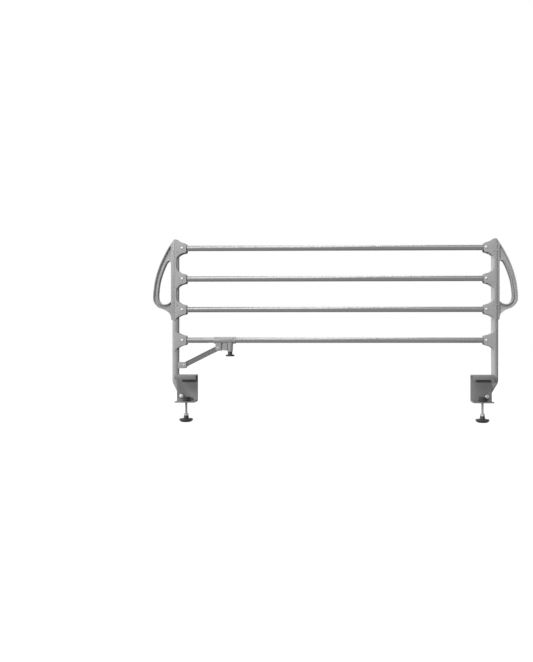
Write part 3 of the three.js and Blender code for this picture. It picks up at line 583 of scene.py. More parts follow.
class Coat(Enum):
    """Names the finishes of the rail's pieces."""

    # the last keyword on some finishes paints their rounded edges lighter, a painted highlight
    CASTING = Finish("cast_grey_paint", (0.28, 0.28, 0.28), 0.6, 0.0, 0.05, 30, 0.22, 420, 0.00012, specular=0.3,
                     edge_highlight=0.35)
    POST = Finish("post_satin_paint", (0.275, 0.275, 0.275), 0.42, 0.0, 0.05, 25, 0.06, 600, 0.00004, specular=0.3)
    TUBE = Finish("bright_drawn_tube", (0.17, 0.17, 0.173), 0.18, 0.5, 0.03, 60, 0.0, 500, 0.000001, (0.06, 1.0, 1.0),
                  specular=1.0)
    BRACKET = Finish("bracket_satin_paint", (0.16, 0.16, 0.162), 0.5, 0.0, 0.06, 35, 0.1, 500, 0.0001, specular=0.25,
                     edge_highlight=0.3)
    ZINC = Finish("bright_zinc", (0.32, 0.32, 0.33), 0.4, 0.6, 0.1, 120, 0.1, 700, 0.00005)
    WASHER = Finish("dull_zinc", (0.12, 0.12, 0.12), 0.5, 0.3, 0.1, 120, 0.1, 700, 0.00005, specular=0.2)
    SCREW = Finish("screw_steel", (0.36, 0.36, 0.36), 0.4, 0.35, 0.12, 90, 0.12, 700, 0.00005, specular=0.2)
    RIVET = Finish("rivet_steel", (0.42, 0.42, 0.42), 0.34, 0.5, 0.06, 200, 0.06, 900, 0.00003)
    PIN = Finish("dull_pin_steel", (0.4, 0.4, 0.4), 0.5, 0.3, 0.08, 150, 0.08, 800, 0.00004, specular=0.3)
    BRACE = Finish("brace_satin_paint", (0.13, 0.13, 0.13), 0.45, 0.0, 0.06, 40, 0.1, 500, 0.0001, specular=0.3,
                   edge_highlight=0.25)
    SLIDER = Finish("slider_cast_grey", (0.25, 0.25, 0.25), 0.36, 0.0, 0.06, 45, 0.14, 450, 0.0001, specular=0.3,
                    edge_highlight=0.3)
    COLLAR = Finish("collar_moulded_grey", (0.3, 0.3, 0.3), 0.55, 0.0, 0.06, 60, 0.1, 500, 0.0001, specular=0.3)
    BLACK = Finish("gloss_black_plastic", (0.02, 0.02, 0.021), 0.4, 0.0, 0.2, 60, 0.2, 700, 0.00005, specular=0.25,
                   edge_highlight=0.1)
    DARK = Finish("dark_moulded_plastic", (0.05, 0.05, 0.05), 0.6, 0.0, 0.1, 60, 0.15, 600, 0.0001)
    RUBBER = Finish("black_rubber", (0.028, 0.028, 0.028), 0.8, 0.0, 0.15, 60, 0.2, 700, 0.0002, specular=0.3)


# Working solids and finishing pieces


def hung(name: str, data: bpy.types.ID) -> bpy.types.Object:
    """Makes an object of a mesh, lamp or camera and puts it into the scene.

    Args:
        name: The object's name.
        data: What it shows.

    Returns:
        The object.
    """
    obj = bpy.data.objects.new(name, data)
    bpy.context.scene.collection.objects.link(obj)
    return obj


class Blank:
    """A solid that is worked: other solids are added to it, cut from it, or bound it."""

    def __init__(self, skin: Skin) -> None:
        """Starts from one closed skin."""
        self.obj = hung("blank", skin.mesh("blank"))

    def settle(self) -> "Blank":
        """Applies the modifiers on the blank.

        Returns:
            The solid itself.
        """
        graph = bpy.context.evaluated_depsgraph_get()
        mesh = bpy.data.meshes.new_from_object(self.obj.evaluated_get(graph))
        self.obj.modifiers.clear()
        old, self.obj.data = self.obj.data, mesh
        bpy.data.meshes.remove(old)
        return self

    def work(self, how: Join, skins: Sequence[Skin]) -> "Blank":
        """Adds, cuts or bounds with other closed skins, one after another.

        Args:
            how: What is done with each.
            skins: The skins.

        Returns:
            The solid itself.
        """
        for skin in skins:
            tool = Blank(skin)
            change = self.obj.modifiers.new("work", "BOOLEAN")
            change.operation = how.value
            change.solver = "EXACT"
            change.object = tool.obj
            self.settle()
            bpy.data.meshes.remove(tool.taken())
        return self

    def add(self, *skins: Skin) -> "Blank":
        """Adds skins."""
        return self.work(Join.ADD, skins)

    def cut(self, *skins: Skin) -> "Blank":
        """Cuts skins away."""
        return self.work(Join.CUT, skins)

    def keep(self, skin: Skin) -> "Blank":
        """Keeps only what lies inside a skin."""
        return self.work(Join.KEEP, [skin])

    def ease(self, width: float, angle: float = 40.0) -> "Blank":
        """Rolls the sharp edges over with a bevel.

        Args:
            width: Width of the rolled edge.
            angle: Angle in degrees past which an edge counts as sharp.

        Returns:
            The solid itself.
        """
        change = self.obj.modifiers.new("ease", "BEVEL")
        change.width = width
        change.segments = 2
        change.limit_method = "ANGLE"
        change.angle_limit = math.radians(angle)
        change.use_clamp_overlap = True
        change.miter_outer = "MITER_ARC"
        return self.settle()

    def placed(self, place: Place, mirrored: bool = False) -> "Blank":
        """Carries every point of the solid to its place.

        Args:
            place: Turns points as drawn into points of the frame.
            mirrored: Whether that turns the solid inside out, so that its faces are flipped back.

        Returns:
            The solid itself.
        """
        mesh = self.obj.data
        points = np.zeros(len(mesh.vertices) * 3)
        mesh.vertices.foreach_get("co", points)
        mesh.vertices.foreach_set("co", place(points.reshape(-1, 3)).ravel())
        if mirrored:
            mesh.flip_normals()
        return self

    def taken(self) -> bpy.types.Mesh:
        """Hands the mesh over and drops the blank.

        Returns:
            The mesh.
        """
        mesh = self.obj.data
        bpy.data.objects.remove(self.obj)
        return mesh


class Workshop:
    """Makes each finish once, and every piece from its shape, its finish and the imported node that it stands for."""

    def __init__(self, frame: dict) -> None:
        """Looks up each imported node's body and slot.

        Args:
            frame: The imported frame.
        """
        record = frame["record"]
        self.ready: dict[Coat, bpy.types.Material] = {}
        self.body_of = {node: body for body, names in record["behaviour"]["bodies"].items() for node in names}
        self.slot_of = {row["node"]: row["material_slot"] for row in record["subparts"]}

    def finish(self, coat: Coat) -> bpy.types.Material:
        """Gives a finish's material, made on its first use.

        Args:
            coat: The finish.

        Returns:
            Its material.
        """
        if coat not in self.ready:
            self.ready[coat] = coat.value.material()
        return self.ready[coat]

    def piece(self, name: str, shape: Skin | Blank, coat: Coat, node: str, sharp: float = 32.0) -> None:
        """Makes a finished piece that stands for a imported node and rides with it.

        Args:
            name: The piece's own name.
            shape: Its skin, or the blank that it was worked from.
            coat: Its finish.
            node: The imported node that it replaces.
            sharp: Angle in degrees past which an edge is drawn sharp.
        """
        mesh = shape.taken() if isinstance(shape, Blank) else shape.mesh(name)
        mesh.validate()
        mesh.name = name
        obj = hung(name, mesh)
        mesh.materials.clear()
        mesh.materials.append(self.finish(coat))
        mesh.polygons.foreach_set("use_smooth", np.ones(len(mesh.polygons), bool))
        mesh.set_sharp_from_angle(angle=math.radians(sharp))
        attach(obj, self.body_of[node])
        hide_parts(node)
        log.info("piece %s: %d faces, for %s on %s", name, len(mesh.polygons), node, self.body_of[node])


# Shared places


@dataclass(frozen=True)
class Layout:
    """Places that several sub-assemblies share."""

    rail_y: float = 0.041
    tube_rows: tuple[float, ...] = (0.140, 0.263, 0.386, 0.509)
    row_names: tuple[str, ...] = ("bottom", "lower", "upper", "top")
    tube_radius: float = 0.011
    post_radius: float = 0.014
    pivot_drop: float = 0.0825
    gap: float = 0.0003  # between a piece and its seat
    swing: float = 0.001  # round a piece that swings in another


@dataclass(frozen=True)
class End:
    """One end of the rail: its name, which way is inboard, and where its post, pins and bracket stand."""

    name: str
    inboard: int
    post_x: float
    pin_offset: float
    bracket_x: float

    @property
    def mirrored(self) -> bool:
        """Whether this end's pieces are drawn for the other hand."""
        return self.inboard < 0

    @property
    def pivot_x(self) -> float:
        """X of the base pivot and of the tube pins."""
        return self.post_x + self.inboard * self.pin_offset

    def at_post(self, layout: Layout) -> Place:
        """Carries points drawn inboard from the post's axis to their place."""
        return lambda p: p * [self.inboard, 1, 1] + [self.post_x, layout.rail_y, 0]

    def at_bracket(self) -> Place:
        """Carries points drawn inboard from the bracket's middle to their place."""
        return lambda p: p * [self.inboard, 1, 1] + [self.bracket_x, 0, 0]


LEFT = End("left", 1, -0.0515, 0.029, 0.0)
RIGHT = End("right", -1, 1.2235, 0.0355, 1.1655)


# Sub-assemblies


@dataclass
class RailTubes:
    """The four bright tubes between the posts."""

    layout: Layout
    wall: float = 0.0015
    nose: float = 0.0055
    slot_span: tuple[float, float] = (0.0781, 0.1719)
    slot_half: float = 0.0041
    slot_round: float = 0.98  # its ends' radius, as a share of its half width
    bore_span: tuple[float, float] = (0.05, 0.25)

    def skin(self, z: float) -> Skin:
        """A tube turned about its own axis, whose ends close in a rounded nose about each pin.

        Args:
            z: Height of its axis.

        Returns:
            The tube, without its bore.
        """
        r, turn = self.layout.tube_radius, quarter(steps=8)
        nose = np.stack([r - self.nose * (1 - np.sin(turn)), self.nose * (1 - np.cos(turn)) - r], axis=1)
        start = np.concatenate([[[0.0, -r]], nose])
        profile = np.concatenate([start + [0, LEFT.pivot_x], start[::-1] * [1, -1] + [0, RIGHT.pivot_x]])
        return spin(profile, sides=72, axis=Axis.X, centre=(0, self.layout.rail_y, z))

    def slotted(self, z: float) -> Blank:
        """The bottom tube: its hollow, seen through the slot along its underside, and that slot.

        Args:
            z: Height of its axis.

        Returns:
            The tube.
        """
        y, half = self.layout.rail_y, self.slot_half
        bore = rod(np.array([[x, y, z] for x in self.bore_span]), self.layout.tube_radius - self.wall, sides=48)
        line = rounded(corners(self.slot_span, (y - half, y + half)), half * self.slot_round, steps=6)
        return Blank(self.skin(z)).cut(bore, upright(line, z - 2 * PAST, z))

    def build(self, shop: Workshop) -> None:
        """Makes and dresses the tubes.

        Args:
            shop: The workshop.
        """
        for name, z in zip(self.layout.row_names, self.layout.tube_rows):
            shape = self.slotted(z) if name == "bottom" else self.skin(z)
            shop.piece(f"bright_tube_{name}", shape, Coat.TUBE, f"{name}_rail_tube")


@dataclass
class Post:
    """One post: its bent tube, its castings with the D handle, and the rivets that hold them.

    It is drawn about the post's axis with the inboard side at +X.
    """

    layout: Layout
    end: End
    top: float = 0.5435
    cap_depth: float = 0.0185
    knee_drop: float = 0.024
    knee_radius: float = 0.030
    leg_tail: float = 0.016
    leg_soft: float = 0.0012
    half_depth: float = 0.016
    seam: float = 0.002
    strip: float = 0.005
    reach: float = 0.046
    shoulder: float = 0.038
    lug_half: float = 0.0195
    tip_half: float = 0.008
    fillet: float = 0.048
    tail: float = 0.053
    fillet_shares: tuple = ((0.06, 0.5), (0.4, 0.12))
    peak: float = 0.004
    peak_shares: tuple = ((0.3, 0.97), (0.47, 0.17))
    lug_soft: float = 0.0008
    lug_step: float = 0.0014
    room_end: float = 0.06
    lower_room_top: float = 0.3
    blunt: float = 0.0017
    handle_reach: float = 0.090
    handle_foot: float = 0.222
    handle_half: float = 0.012
    handle_step: float = 0.0015
    web_half: float = 0.0035
    web_lap: float = 0.002  # how far the web runs into the rims
    web_end: float = -0.012  # hidden in the sleeve
    sleeve: float = 0.017
    sleeve_foot: tuple = ((-0.017, 0.017), (-0.0158, 0.008), (-0.0138, 0.0))  # X, and height above the handle's foot
    sleeve_soft: float = 0.0006
    crest_past: float = 0.0012  # how far short of the sleeve's side the crest's points stop
    seam_edge: tuple[float, float] = (0.0005, 0.0006)
    proud: float = 0.00015  # of the sleeve over the rims
    bulge: float = 0.0068
    rim: float = 0.0045
    rim_soft: float = 0.0014
    rim_start: float = -0.0155
    groove: float = 0.006
    handle_shares: tuple = (
        (0.03, 1), (0.106, 0.981), (0.332, 0.888), (0.519, 0.79), (0.703, 0.677), (0.847, 0.557), (0.933, 0.452),
        (0.981, 0.346), (0.996, 0.278), (0.956, 0.218), (0.806, 0.165), (0.672, 0.144), (0.439, 0.118),
        (0.267, 0.081), (0.2, 0.044), (0.183, 0.003),
    )
    opening_shares: tuple = (
        (0, 0.703), (0.041, 0.725), (0.116, 0.7325), (0.205, 0.72), (0.295, 0.686), (0.429, 0.616), (0.589, 0.51),
        (0.671, 0.42), (0.712, 0.331), (0.716, 0.28), (0.671, 0.236), (0.562, 0.205), (0.397, 0.193),
        (0.178, 0.202), (0, 0.233),
    )
    pin_radius: float = 0.004
    pin_head: tuple[float, float] = (0.0056, 0.0026)
    rivet_radius: float = 0.002
    rivet_head: tuple[float, float] = (0.0034, 0.0014)
    rivet_dish: tuple = ((0.3, 0.97), (0.22, 0.8), (0, 0.78))
    blind_grip: float = 0.008
    rivet_drops: tuple = (("top", 0.0135), ("low", 0.228))
    rivet_x: tuple = (("lugs", 0.008), ("handle", -0.0058))
    lower_rivet_rise: float = 0.022

    @property
    def cap(self) -> float:
        """Where the castings' room for the post ends."""
        return self.top - self.cap_depth + self.layout.gap

    def tube(self) -> Skin:
        """The post tube: a circle carried down the post, round the knee and along the leg.

        Returns:
            The tube, whose foot is closed.
        """
        leg = np.array([self.end.pin_offset, self.knee_drop - self.layout.pivot_drop])
        leg /= np.linalg.norm(leg)
        foot = np.array([self.end.pin_offset, -self.layout.pivot_drop]) + leg * self.leg_tail
        line = [[0, self.top - self.cap_depth], [0, -self.knee_drop], foot]
        line = rounded(line, self.knee_radius, steps=16, loop=False)
        return rod(np.insert(line, 1, 0.0, axis=1), self.layout.post_radius, sides=64, soft=self.leg_soft)

    def post_room(self, low: float, top: float) -> Skin:
        """The room that a casting keeps for the post tube."""
        return rod(np.array([[0, 0, low], [0, 0, top]], float), self.layout.post_radius + self.layout.gap, sides=64)

    def lug_end(self, z: float) -> Array:
        """The rounded tip of a lug: a curve over its upper half, and the same mirrored below.

        Args:
            z: Height of the lug's middle.

        Returns:
            The points from its upper shoulder to its lower one.
        """
        upper = bezier([[self.shoulder, z + self.lug_half], [self.reach, z + self.lug_half],
                        [self.reach, z + self.tip_half]], steps=10)
        return np.concatenate([upper, upper[::-1] * [1, -1] + [0, 2 * z]])

    def flank(self, x: float, z: float, height: float) -> Array:
        """A fillet from the strip out to a lug's shoulder, above the lug.

        Args:
            x: Where the strip's edge stands.
            z: Height of the lug's middle.
            height: Where the fillet starts, above that.

        Returns:
            The fillet's points.
        """
        span = np.array([self.shoulder - x, height - self.lug_half])
        shares = [np.array([x, z + self.lug_half]) + span * share for share in self.fillet_shares]
        return bezier([[x, z + height], *shares, [self.shoulder, z + self.lug_half]], steps=14)

    def under(self, x: float, z: float, height: float) -> Array:
        """The same fillet below the lug, from its shoulder back to the strip."""
        return self.flank(x, z, height)[::-1] * [1, -1] + [0, 2 * z]

    def lug_outlines(self) -> tuple[Array, Array]:
        """Outlines of the lug castings, each closed along the seam.

        Returns:
            The outline of the casting with three lugs, and of the one with a single lug.
        """
        seam = self.layout.gap / 2 - self.seam
        lowest, *rows = self.layout.tube_rows
        crown = rows[-1] + self.lug_half
        span = np.array([self.shoulder - self.peak, self.top - crown])
        shares = [np.array([self.peak, crown]) + span * share for share in self.peak_shares]
        upper = [bezier([[self.peak, self.top], *shares, [self.shoulder, crown]], steps=16)]
        for z in rows[::-1]:
            if z != rows[-1]:
                upper.append(self.flank(self.strip, z, self.fillet))
            upper.append(self.lug_end(z))
            upper.append(self.under(*((seam, z, self.tail) if z == rows[0] else (self.strip, z, self.fillet))))
        lower = [self.flank(seam, lowest, self.tail), self.lug_end(lowest), self.under(seam, lowest, self.tail)]
        closed = []
        for parts, top in ((upper, self.top), (lower, None)):
            line = np.concatenate(parts)
            line = line[line[:, 0] > seam + self.blunt]
            closed.append(np.concatenate([line, [[seam, line[-1, 1]], [seam, line[0, 1] if top is None else top]]]))
        return closed[0], closed[1]

    def lugs(self, line: Array, rows: Sequence[float], top: float) -> Blank:
        """A lug casting: its outline carried through its depth, with soft edges, room for the post and for the tubes.

        Args:
            line: The outline.
            rows: Heights of its lugs, from the lowest.
            top: Where the room for the post ends.

        Returns:
            The casting.
        """
        line = evened(np.concatenate([line, line[:1]]), self.lug_step)[:-1]
        half = self.layout.tube_radius + self.layout.swing
        slot = corners((self.end.pin_offset - half, self.room_end), (rows[0] - FAR, rows[-1] + FAR))
        blank = Blank(slab(line, -self.half_depth, self.half_depth, self.lug_soft))
        return blank.cut(self.post_room(line[:, 1].min() - PAST, top), slab(slot, -half, half))

    def handle_line(self, shares: Sequence, start: float, width: float) -> Array:
        """A handle's curve at even steps, from shares of a width out from a start and of the height up."""
        p = np.asarray(shares, float) * [-width, self.top - self.handle_foot] + [start, self.handle_foot]
        return evened(smooth_line(p), self.handle_step)

    def rim_section(self) -> Array:
        """Section of a rim: a rounded rib as deep as the handle, with a hollow foot that runs into the web.

        Returns:
            Points round the section: how far in from the rim's edge, and depth.
        """
        r, g, h, w, soft = self.rim, self.groove, self.handle_half, self.web_half, self.rim_soft
        near, far = 1 - np.cos(quarter(steps=5)), 1 - np.sin(quarter(steps=5))
        outer = np.stack([soft * near, -h + soft * far], axis=1)
        inner = np.stack([r - soft * far, -h + soft * near], axis=1)
        foot = np.stack([r + g * near, -w - (h - w - soft) * far], axis=1)
        front = np.concatenate([outer, inner[1:], foot[1:]])
        return np.concatenate([front, front[::-1] * [1, -1]])

    def wrap(self) -> Skin:
        """The stock of the sleeve: its faces fall with the square of the way from the seam to the handle's depth.

        Returns:
            The stock, longer and wider than the sleeve.
        """
        top, low, seam = self.half_depth, self.handle_half + self.proud, -self.seam - self.layout.gap / 2
        start = seam - self.seam_edge[0]
        x = start - np.linspace(0.0, self.bulge, num=14)
        arc = np.stack([x, top - (top - low) * ((start - x) / self.bulge) ** 2], axis=1)
        half = np.concatenate([[[seam, top - self.seam_edge[1]]], arc, [[-2 * PAST, low]]])
        line = np.concatenate([half, half[::-1] * [1, -1]])
        return upright(anticlockwise(line), self.handle_foot - 2 * PAST, self.top + 2 * PAST)

    def web(self, curve: Array, opening: Array) -> Array:
        """Outline of the web: it runs a little way into both rims and ends hidden in the sleeve.

        Args:
            curve: The handle's outer curve.
            opening: Its opening's curve.

        Returns:
            The closed outline.
        """
        outside = curve + normals(curve) * self.web_lap
        outside = outside[outside[:, 0] < self.web_end]
        inside = opening - normals(opening) * self.web_lap
        inside = inside[inside[:, 0] < self.web_end][::-1]
        hidden = [[[self.web_end, z]] for z in (outside[-1, 1], inside[0, 1], inside[-1, 1], outside[0, 1])]
        return np.concatenate([outside, *hidden[:2], inside, *hidden[2:]])

    def handle(self) -> Blank:
        """The D handle: two rims joined by a sunk web, and the sleeve half that wraps the post.

        Returns:
            The handle.
        """
        curve = self.handle_line(self.handle_shares, 0.0, self.handle_reach)
        opening = self.handle_line(self.opening_shares, -self.sleeve, self.handle_reach - self.sleeve)
        crest = curve[: len(curve) // 4]  # its first quarter, which falls from the crest
        high = crest[crest[:, 0] > self.crest_past - self.sleeve]
        shoulder = np.interp(self.sleeve, -crest[:, 0], crest[:, 1])
        line = np.concatenate([[[self.seam, self.handle_foot], [self.seam, self.top]], high,
                               [[-self.sleeve, shoulder]], np.add(self.sleeve_foot, [0, self.handle_foot])])
        blank = Blank(self.wrap()).keep(slab(anticlockwise(line), -3 * PAST, 3 * PAST)).ease(self.sleeve_soft, angle=35)
        blank.add(slab(self.web(curve, opening), -self.web_half, self.web_half),
                  rib(curve[curve[:, 0] < self.rim_start], self.rim_section(), 1), rib(opening, self.rim_section(), -1))
        return blank.cut(self.post_room(self.handle_foot - PAST, self.cap))

    def rivet(self, radius: float, head: Sequence, x: float, z: float, blind: bool = False) -> Skin:
        """A rivet along Y: a shank between two domed heads, or one that grips from the rear alone.

        Args:
            radius: Radius of the shank.
            head: Radius and height of a head.
            x: Its place inboard of the post's axis.
            z: Its height.
            blind: Whether it shows at the rear alone.

        Returns:
            The rivet.
        """
        face = self.half_depth + self.layout.gap
        back = np.concatenate([[[radius, face]], domed_head(head, face, self.rivet_dish)])
        inner = face - self.blind_grip
        front = np.array([[0, inner], [radius, inner]]) if blind else back[::-1] * [1, -1]
        return spin(np.concatenate([front, back]), sides=32, axis=Axis.Y, centre=(x, 0, z))

    def build(self, shop: Workshop) -> None:
        """Makes and dresses the post.

        Args:
            shop: The workshop.
        """
        name, place, rows = self.end.name, self.end.at_post(self.layout), self.layout.tube_rows
        shop.piece(f"post_{name}", self.tube().placed(place), Coat.POST, f"{name}_post_tube")
        upper, lower = self.lug_outlines()
        for part, blank in (("upper_lugs", self.lugs(upper, rows[1:], self.cap)),
                            ("lower_lug", self.lugs(lower, rows[:1], self.lower_room_top)),
                            ("handle", self.handle())):
            shop.piece(f"cast_{part}_{name}", blank.placed(place, self.end.mirrored), Coat.CASTING, f"{name}_{part}")
        for row, z in zip(self.layout.row_names, rows):
            pin = self.rivet(self.pin_radius, self.pin_head, self.end.pin_offset, z)
            shop.piece(f"tube_rivet_{row}_{name}", pin.placed(place), Coat.RIVET, f"{name}_{row}_tube_pin")
        for level, drop in self.rivet_drops:
            for part, x in self.rivet_x:
                small = self.rivet(self.rivet_radius, self.rivet_head, x, rows[-1] - drop)
                shop.piece(f"seam_rivet_{part}_{level}_{name}", small.placed(place), Coat.CASTING,
                           f"{name}_{part}_{level}_rivet")
        x, z = self.rivet_x[0][1], rows[0] + self.lower_rivet_rise
        small = self.rivet(self.rivet_radius, self.rivet_head, x, z, True)
        shop.piece(f"seam_rivet_low_lug_{name}", small.placed(place), Coat.CASTING, f"{name}_lower_lug_rivet")


@dataclass
class Clamp:
    """One clamp: the bent bracket, its base pivot, and the screw with its pad, nut and knob.

    It is drawn about the screw's axis with the inboard side at +X.
    """

    layout: Layout
    end: End
    width: float = 0.084
    sheet: float = 0.0045
    bend: float = 0.0015
    throat: float = 0.039
    height: float = 0.110
    lip: float = 0.0182
    lower_depth: float = 0.042
    turned_radius: float = 0.008
    turned_height: float = 0.010
    sole_lift: float = 0.00004  # keeps the turned end's sole off the flange's
    side_inset: float = 0.0001  # and its side off the flange's
    soft: float = 0.0008
    neck: tuple[float, float] = (0.008, 0.0014)
    neck_straight: float = 0.5  # share of its height
    neck_top: float = 0.93  # share of its radius
    lap: float = 0.001
    pivot_inset: float = 0.0195
    to_post: float = 0.003
    bolt_radius: float = 0.005
    bolt_end: float = 0.0012
    chamfer: float = 0.0008
    head_flats: float = 0.016
    head_height: float = 0.0065
    head_crown: float = 0.0014
    hex_round: float = 0.03  # a hexagon's corners, as a share of its flats
    hex_bound: tuple[float, float, float] = (0.62, 0.5, 0.07)  # the same: widest, at its faces, and its chamfer
    washer: tuple[float, float] = (0.012, 0.002)
    washer_soft: float = 0.0004
    ring_edges: tuple = (0.3, 1.0, 1.0, 0.3)  # corners of a washer, as shares of its easing
    spacer_radius: float = 0.013
    spacer_soft: float = 0.0005
    nut_height: float = 0.0085
    nut_flange: tuple[float, float] = (0.0115, 0.002)
    flange_edge: tuple[float, float] = (0.0004, 0.0005)
    flange_rim: float = 0.6  # share of its thickness
    flange_top: float = 0.51  # share of the flats
    screw_radius: float = 0.005
    pitch: float = 0.0015
    thread_depth: float = 0.0008
    thread_end: float = 0.001
    thread_slope: float = 1.3
    thread_flat: float = 0.15
    thread_sides: int = 32
    thread_rows: int = 8  # in each pitch
    to_nut: float = 0.042
    nut_flats: float = 0.017
    knob_nut_height: float = 0.009
    pad_lift: float = 0.002
    pad_socket: float = 0.008
    pad: tuple = (  # radius, height and corner of each point
        (0.015, 0, 0.0012), (0.015, 0.0045, 0.0006), (0.0138, 0.0055, 0.0006), (0.0137, 0.0115, 0.001),
        (0.0135, 0.0155, 0.002), (0, 0.0155, SHARP),
    )
    knob_socket: float = 0.012
    hub_radius: float = 0.0095
    hub_height: float = 0.014
    hub_edge: float = 0.0016
    knob: tuple = (  # radius, height above the dish and corner of each point, from the hub's foot out and round
        (0.0105, 0.0022, 0.0022), (0.0182, 0, 0.004), (0.0248, 0.0018, 0.0012), (0.027, -0.0004, 0.0011),
        (0.027, -0.0027, 0.002), (0.0235, -0.0085, 0.004), (0.0175, -0.0113, 0.004), (0, -0.0117, SHARP),
    )

    @property
    def bottom(self) -> float:
        """Z of the lower flange's underside."""
        return self.sheet - self.height

    @property
    def nut_top(self) -> float:
        """Z of the top of the knob's nut."""
        return self.bottom - self.to_nut

    @property
    def pivot(self) -> tuple[float, float, float]:
        """The base pivot, from the bracket's middle."""
        return self.pivot_inset - self.width / 2, 0, -self.layout.pivot_drop

    @property
    def bolt_bore(self) -> float:
        """Radius of a hole for the base pivot's bolt."""
        return self.bolt_radius + self.layout.gap

    @property
    def screw_bore(self) -> float:
        """Radius of a hole for the screw."""
        return self.screw_radius + self.layout.gap

    def section(self) -> Array:
        """Section of the bent sheet in Y and Z: its outer line with wide bends, and back along its inner one.

        Returns:
            The closed section.
        """
        half, t = self.throat / 2, self.sheet
        end = half + t - self.lower_depth
        outer = [[-half - t, t - self.lip], [-half - t, t], [half + t, t], [half + t, self.bottom], [end, self.bottom]]
        inner = [[-half, t - self.lip], [-half, 0], [half, 0], [half, self.bottom + t], [end, self.bottom + t]]
        back = rounded(inner, self.bend, steps=5, loop=False)[::-1]
        return np.concatenate([rounded(outer, t + self.bend, steps=8, loop=False), back])

    def turned_end(self) -> Skin:
        """The lower flange's inboard end, bent up by a quarter circle.

        Returns:
            The bent strip, which laps the flange.
        """
        half, t = self.width / 2, self.sheet
        rise, low, sole = self.bottom + self.turned_height, self.bottom + t, self.bottom + self.sole_lift
        outer = rounded([[0, sole], [half, sole], [half, rise]], self.turned_radius, steps=10, loop=False)
        inner = rounded([[0, low], [half - t, low], [half - t, rise]], self.turned_radius - t, steps=10, loop=False)
        start, stop = self.throat / 2 + t - self.lower_depth + self.side_inset, self.throat / 2 + t - self.bend
        return slab(np.concatenate([outer, inner[::-1]]), start, stop)

    def bracket(self) -> Blank:
        """The bracket: its section carried along X, a round lower corner, the turned end, the neck and both holes.

        Returns:
            The bracket.
        """
        half, low, back = self.width / 2, self.bottom + self.sheet, self.throat / 2
        sheet = slab(anticlockwise(self.section()), -half, half).placed(lambda p: p[:, [1, 0, 2]])
        plate = corners((-half, half), (self.bottom, self.sheet))
        corner = rounded(plate, [SHARP, self.turned_radius, SHARP, SHARP], steps=10)
        wide, high = self.neck
        start, top = self.bottom + self.lap, low + high
        neck = spin([[0, start], [wide, start], [wide, low + high * self.neck_straight],
                     [wide * self.neck_top, top], [0, top]], sides=48)
        blank = Blank(sheet).keep(slab(corner, -FAR, FAR)).add(self.turned_end(), neck)
        blank.cut(shaft(self.screw_bore, self.bottom - PAST, low + PAST, sides=48),
                  shaft(self.bolt_bore, back - PAST, back + 2 * PAST, sides=32, axis=Axis.Y, centre=self.pivot))
        return blank.ease(self.soft)

    def hexagon(self, flats: float, low: float, high: float, axis: Axis, centre: Sequence, crown: float = 0.0) -> Blank:
        """A hexagon carried along an axis, bounded by a turned profile.

        Args:
            flats: Width across the flats.
            low: Start along the axis.
            high: End along the axis.
            axis: The axis.
            centre: A point on the axis.
            crown: Height of the dome on the low end, which is only chamfered without it.

        Returns:
            The solid.
        """
        angle = np.arange(6) * np.pi / 3 + np.pi / 6
        line = np.stack([np.cos(angle), np.sin(angle)], axis=1) * flats / math.sqrt(3)
        line = rounded(line, flats * self.hex_round, steps=3)
        order = [0, 1, 2] if axis is Axis.Y else [0, 2, 1]
        prism = slab(line, low, high).placed(lambda p: p[:, order] + np.asarray(centre, float))
        big, small, cut = (flats * share for share in self.hex_bound)
        turn = quarter(steps=8)
        dome = np.stack([small * np.sin(turn), low + crown * (1 - np.cos(turn))], axis=1)
        front = dome if crown else np.array([[0, low], [small, low]])
        rest = [[big, low + crown + cut], [big, high - cut], [small, high], [0, high]]
        return Blank(prism).keep(spin(np.concatenate([front, rest]), sides=48, axis=axis, centre=centre))

    def bolt(self) -> Blank:
        """The base pivot's bolt: a crowned hexagon head and its shank.

        Returns:
            The bolt.
        """
        gap, r = self.layout.gap, self.bolt_radius
        seat = self.throat / 2 - 2 * gap - self.washer[1]
        end = self.layout.rail_y + self.layout.post_radius + gap + self.nut_height + self.bolt_end
        head = self.hexagon(self.head_flats, seat - self.head_height, seat, Axis.Y, self.pivot, self.head_crown)
        return head.add(spin([[0, seat - self.lap], [r, seat - self.lap], [r, end - self.chamfer],
                              [r - self.chamfer, end], [0, end]], sides=40, axis=Axis.Y, centre=self.pivot))

    def ring(self, outer: float, low: float, high: float, soft: float) -> Skin:
        """A washer about the base pivot between two values of Y, with eased edges."""
        line = rounded(corners((self.bolt_bore, outer), (low, high)), np.multiply(self.ring_edges, soft), steps=3)
        return spin(line, sides=64, axis=Axis.Y, centre=self.pivot, ring=True)

    def lock_nut(self) -> Blank:
        """The flanged lock nut behind the leg.

        Returns:
            The nut.
        """
        low = self.layout.rail_y + self.layout.post_radius + self.layout.gap
        high, (wide, thick), (side, edge) = low + self.nut_height, self.nut_flange, self.flange_edge
        rows = [[0, low], [wide - side, low], [wide, low + edge], [wide, low + thick * self.flange_rim],
                [self.head_flats * self.flange_top, low + thick], [0, low + thick]]
        flange = spin(rows, sides=48, axis=Axis.Y, centre=self.pivot)
        nut = self.hexagon(self.head_flats, low + edge, high, Axis.Y, self.pivot).add(flange)
        return nut.cut(shaft(self.bolt_bore, low - PAST, high + PAST, sides=40, axis=Axis.Y, centre=self.pivot))

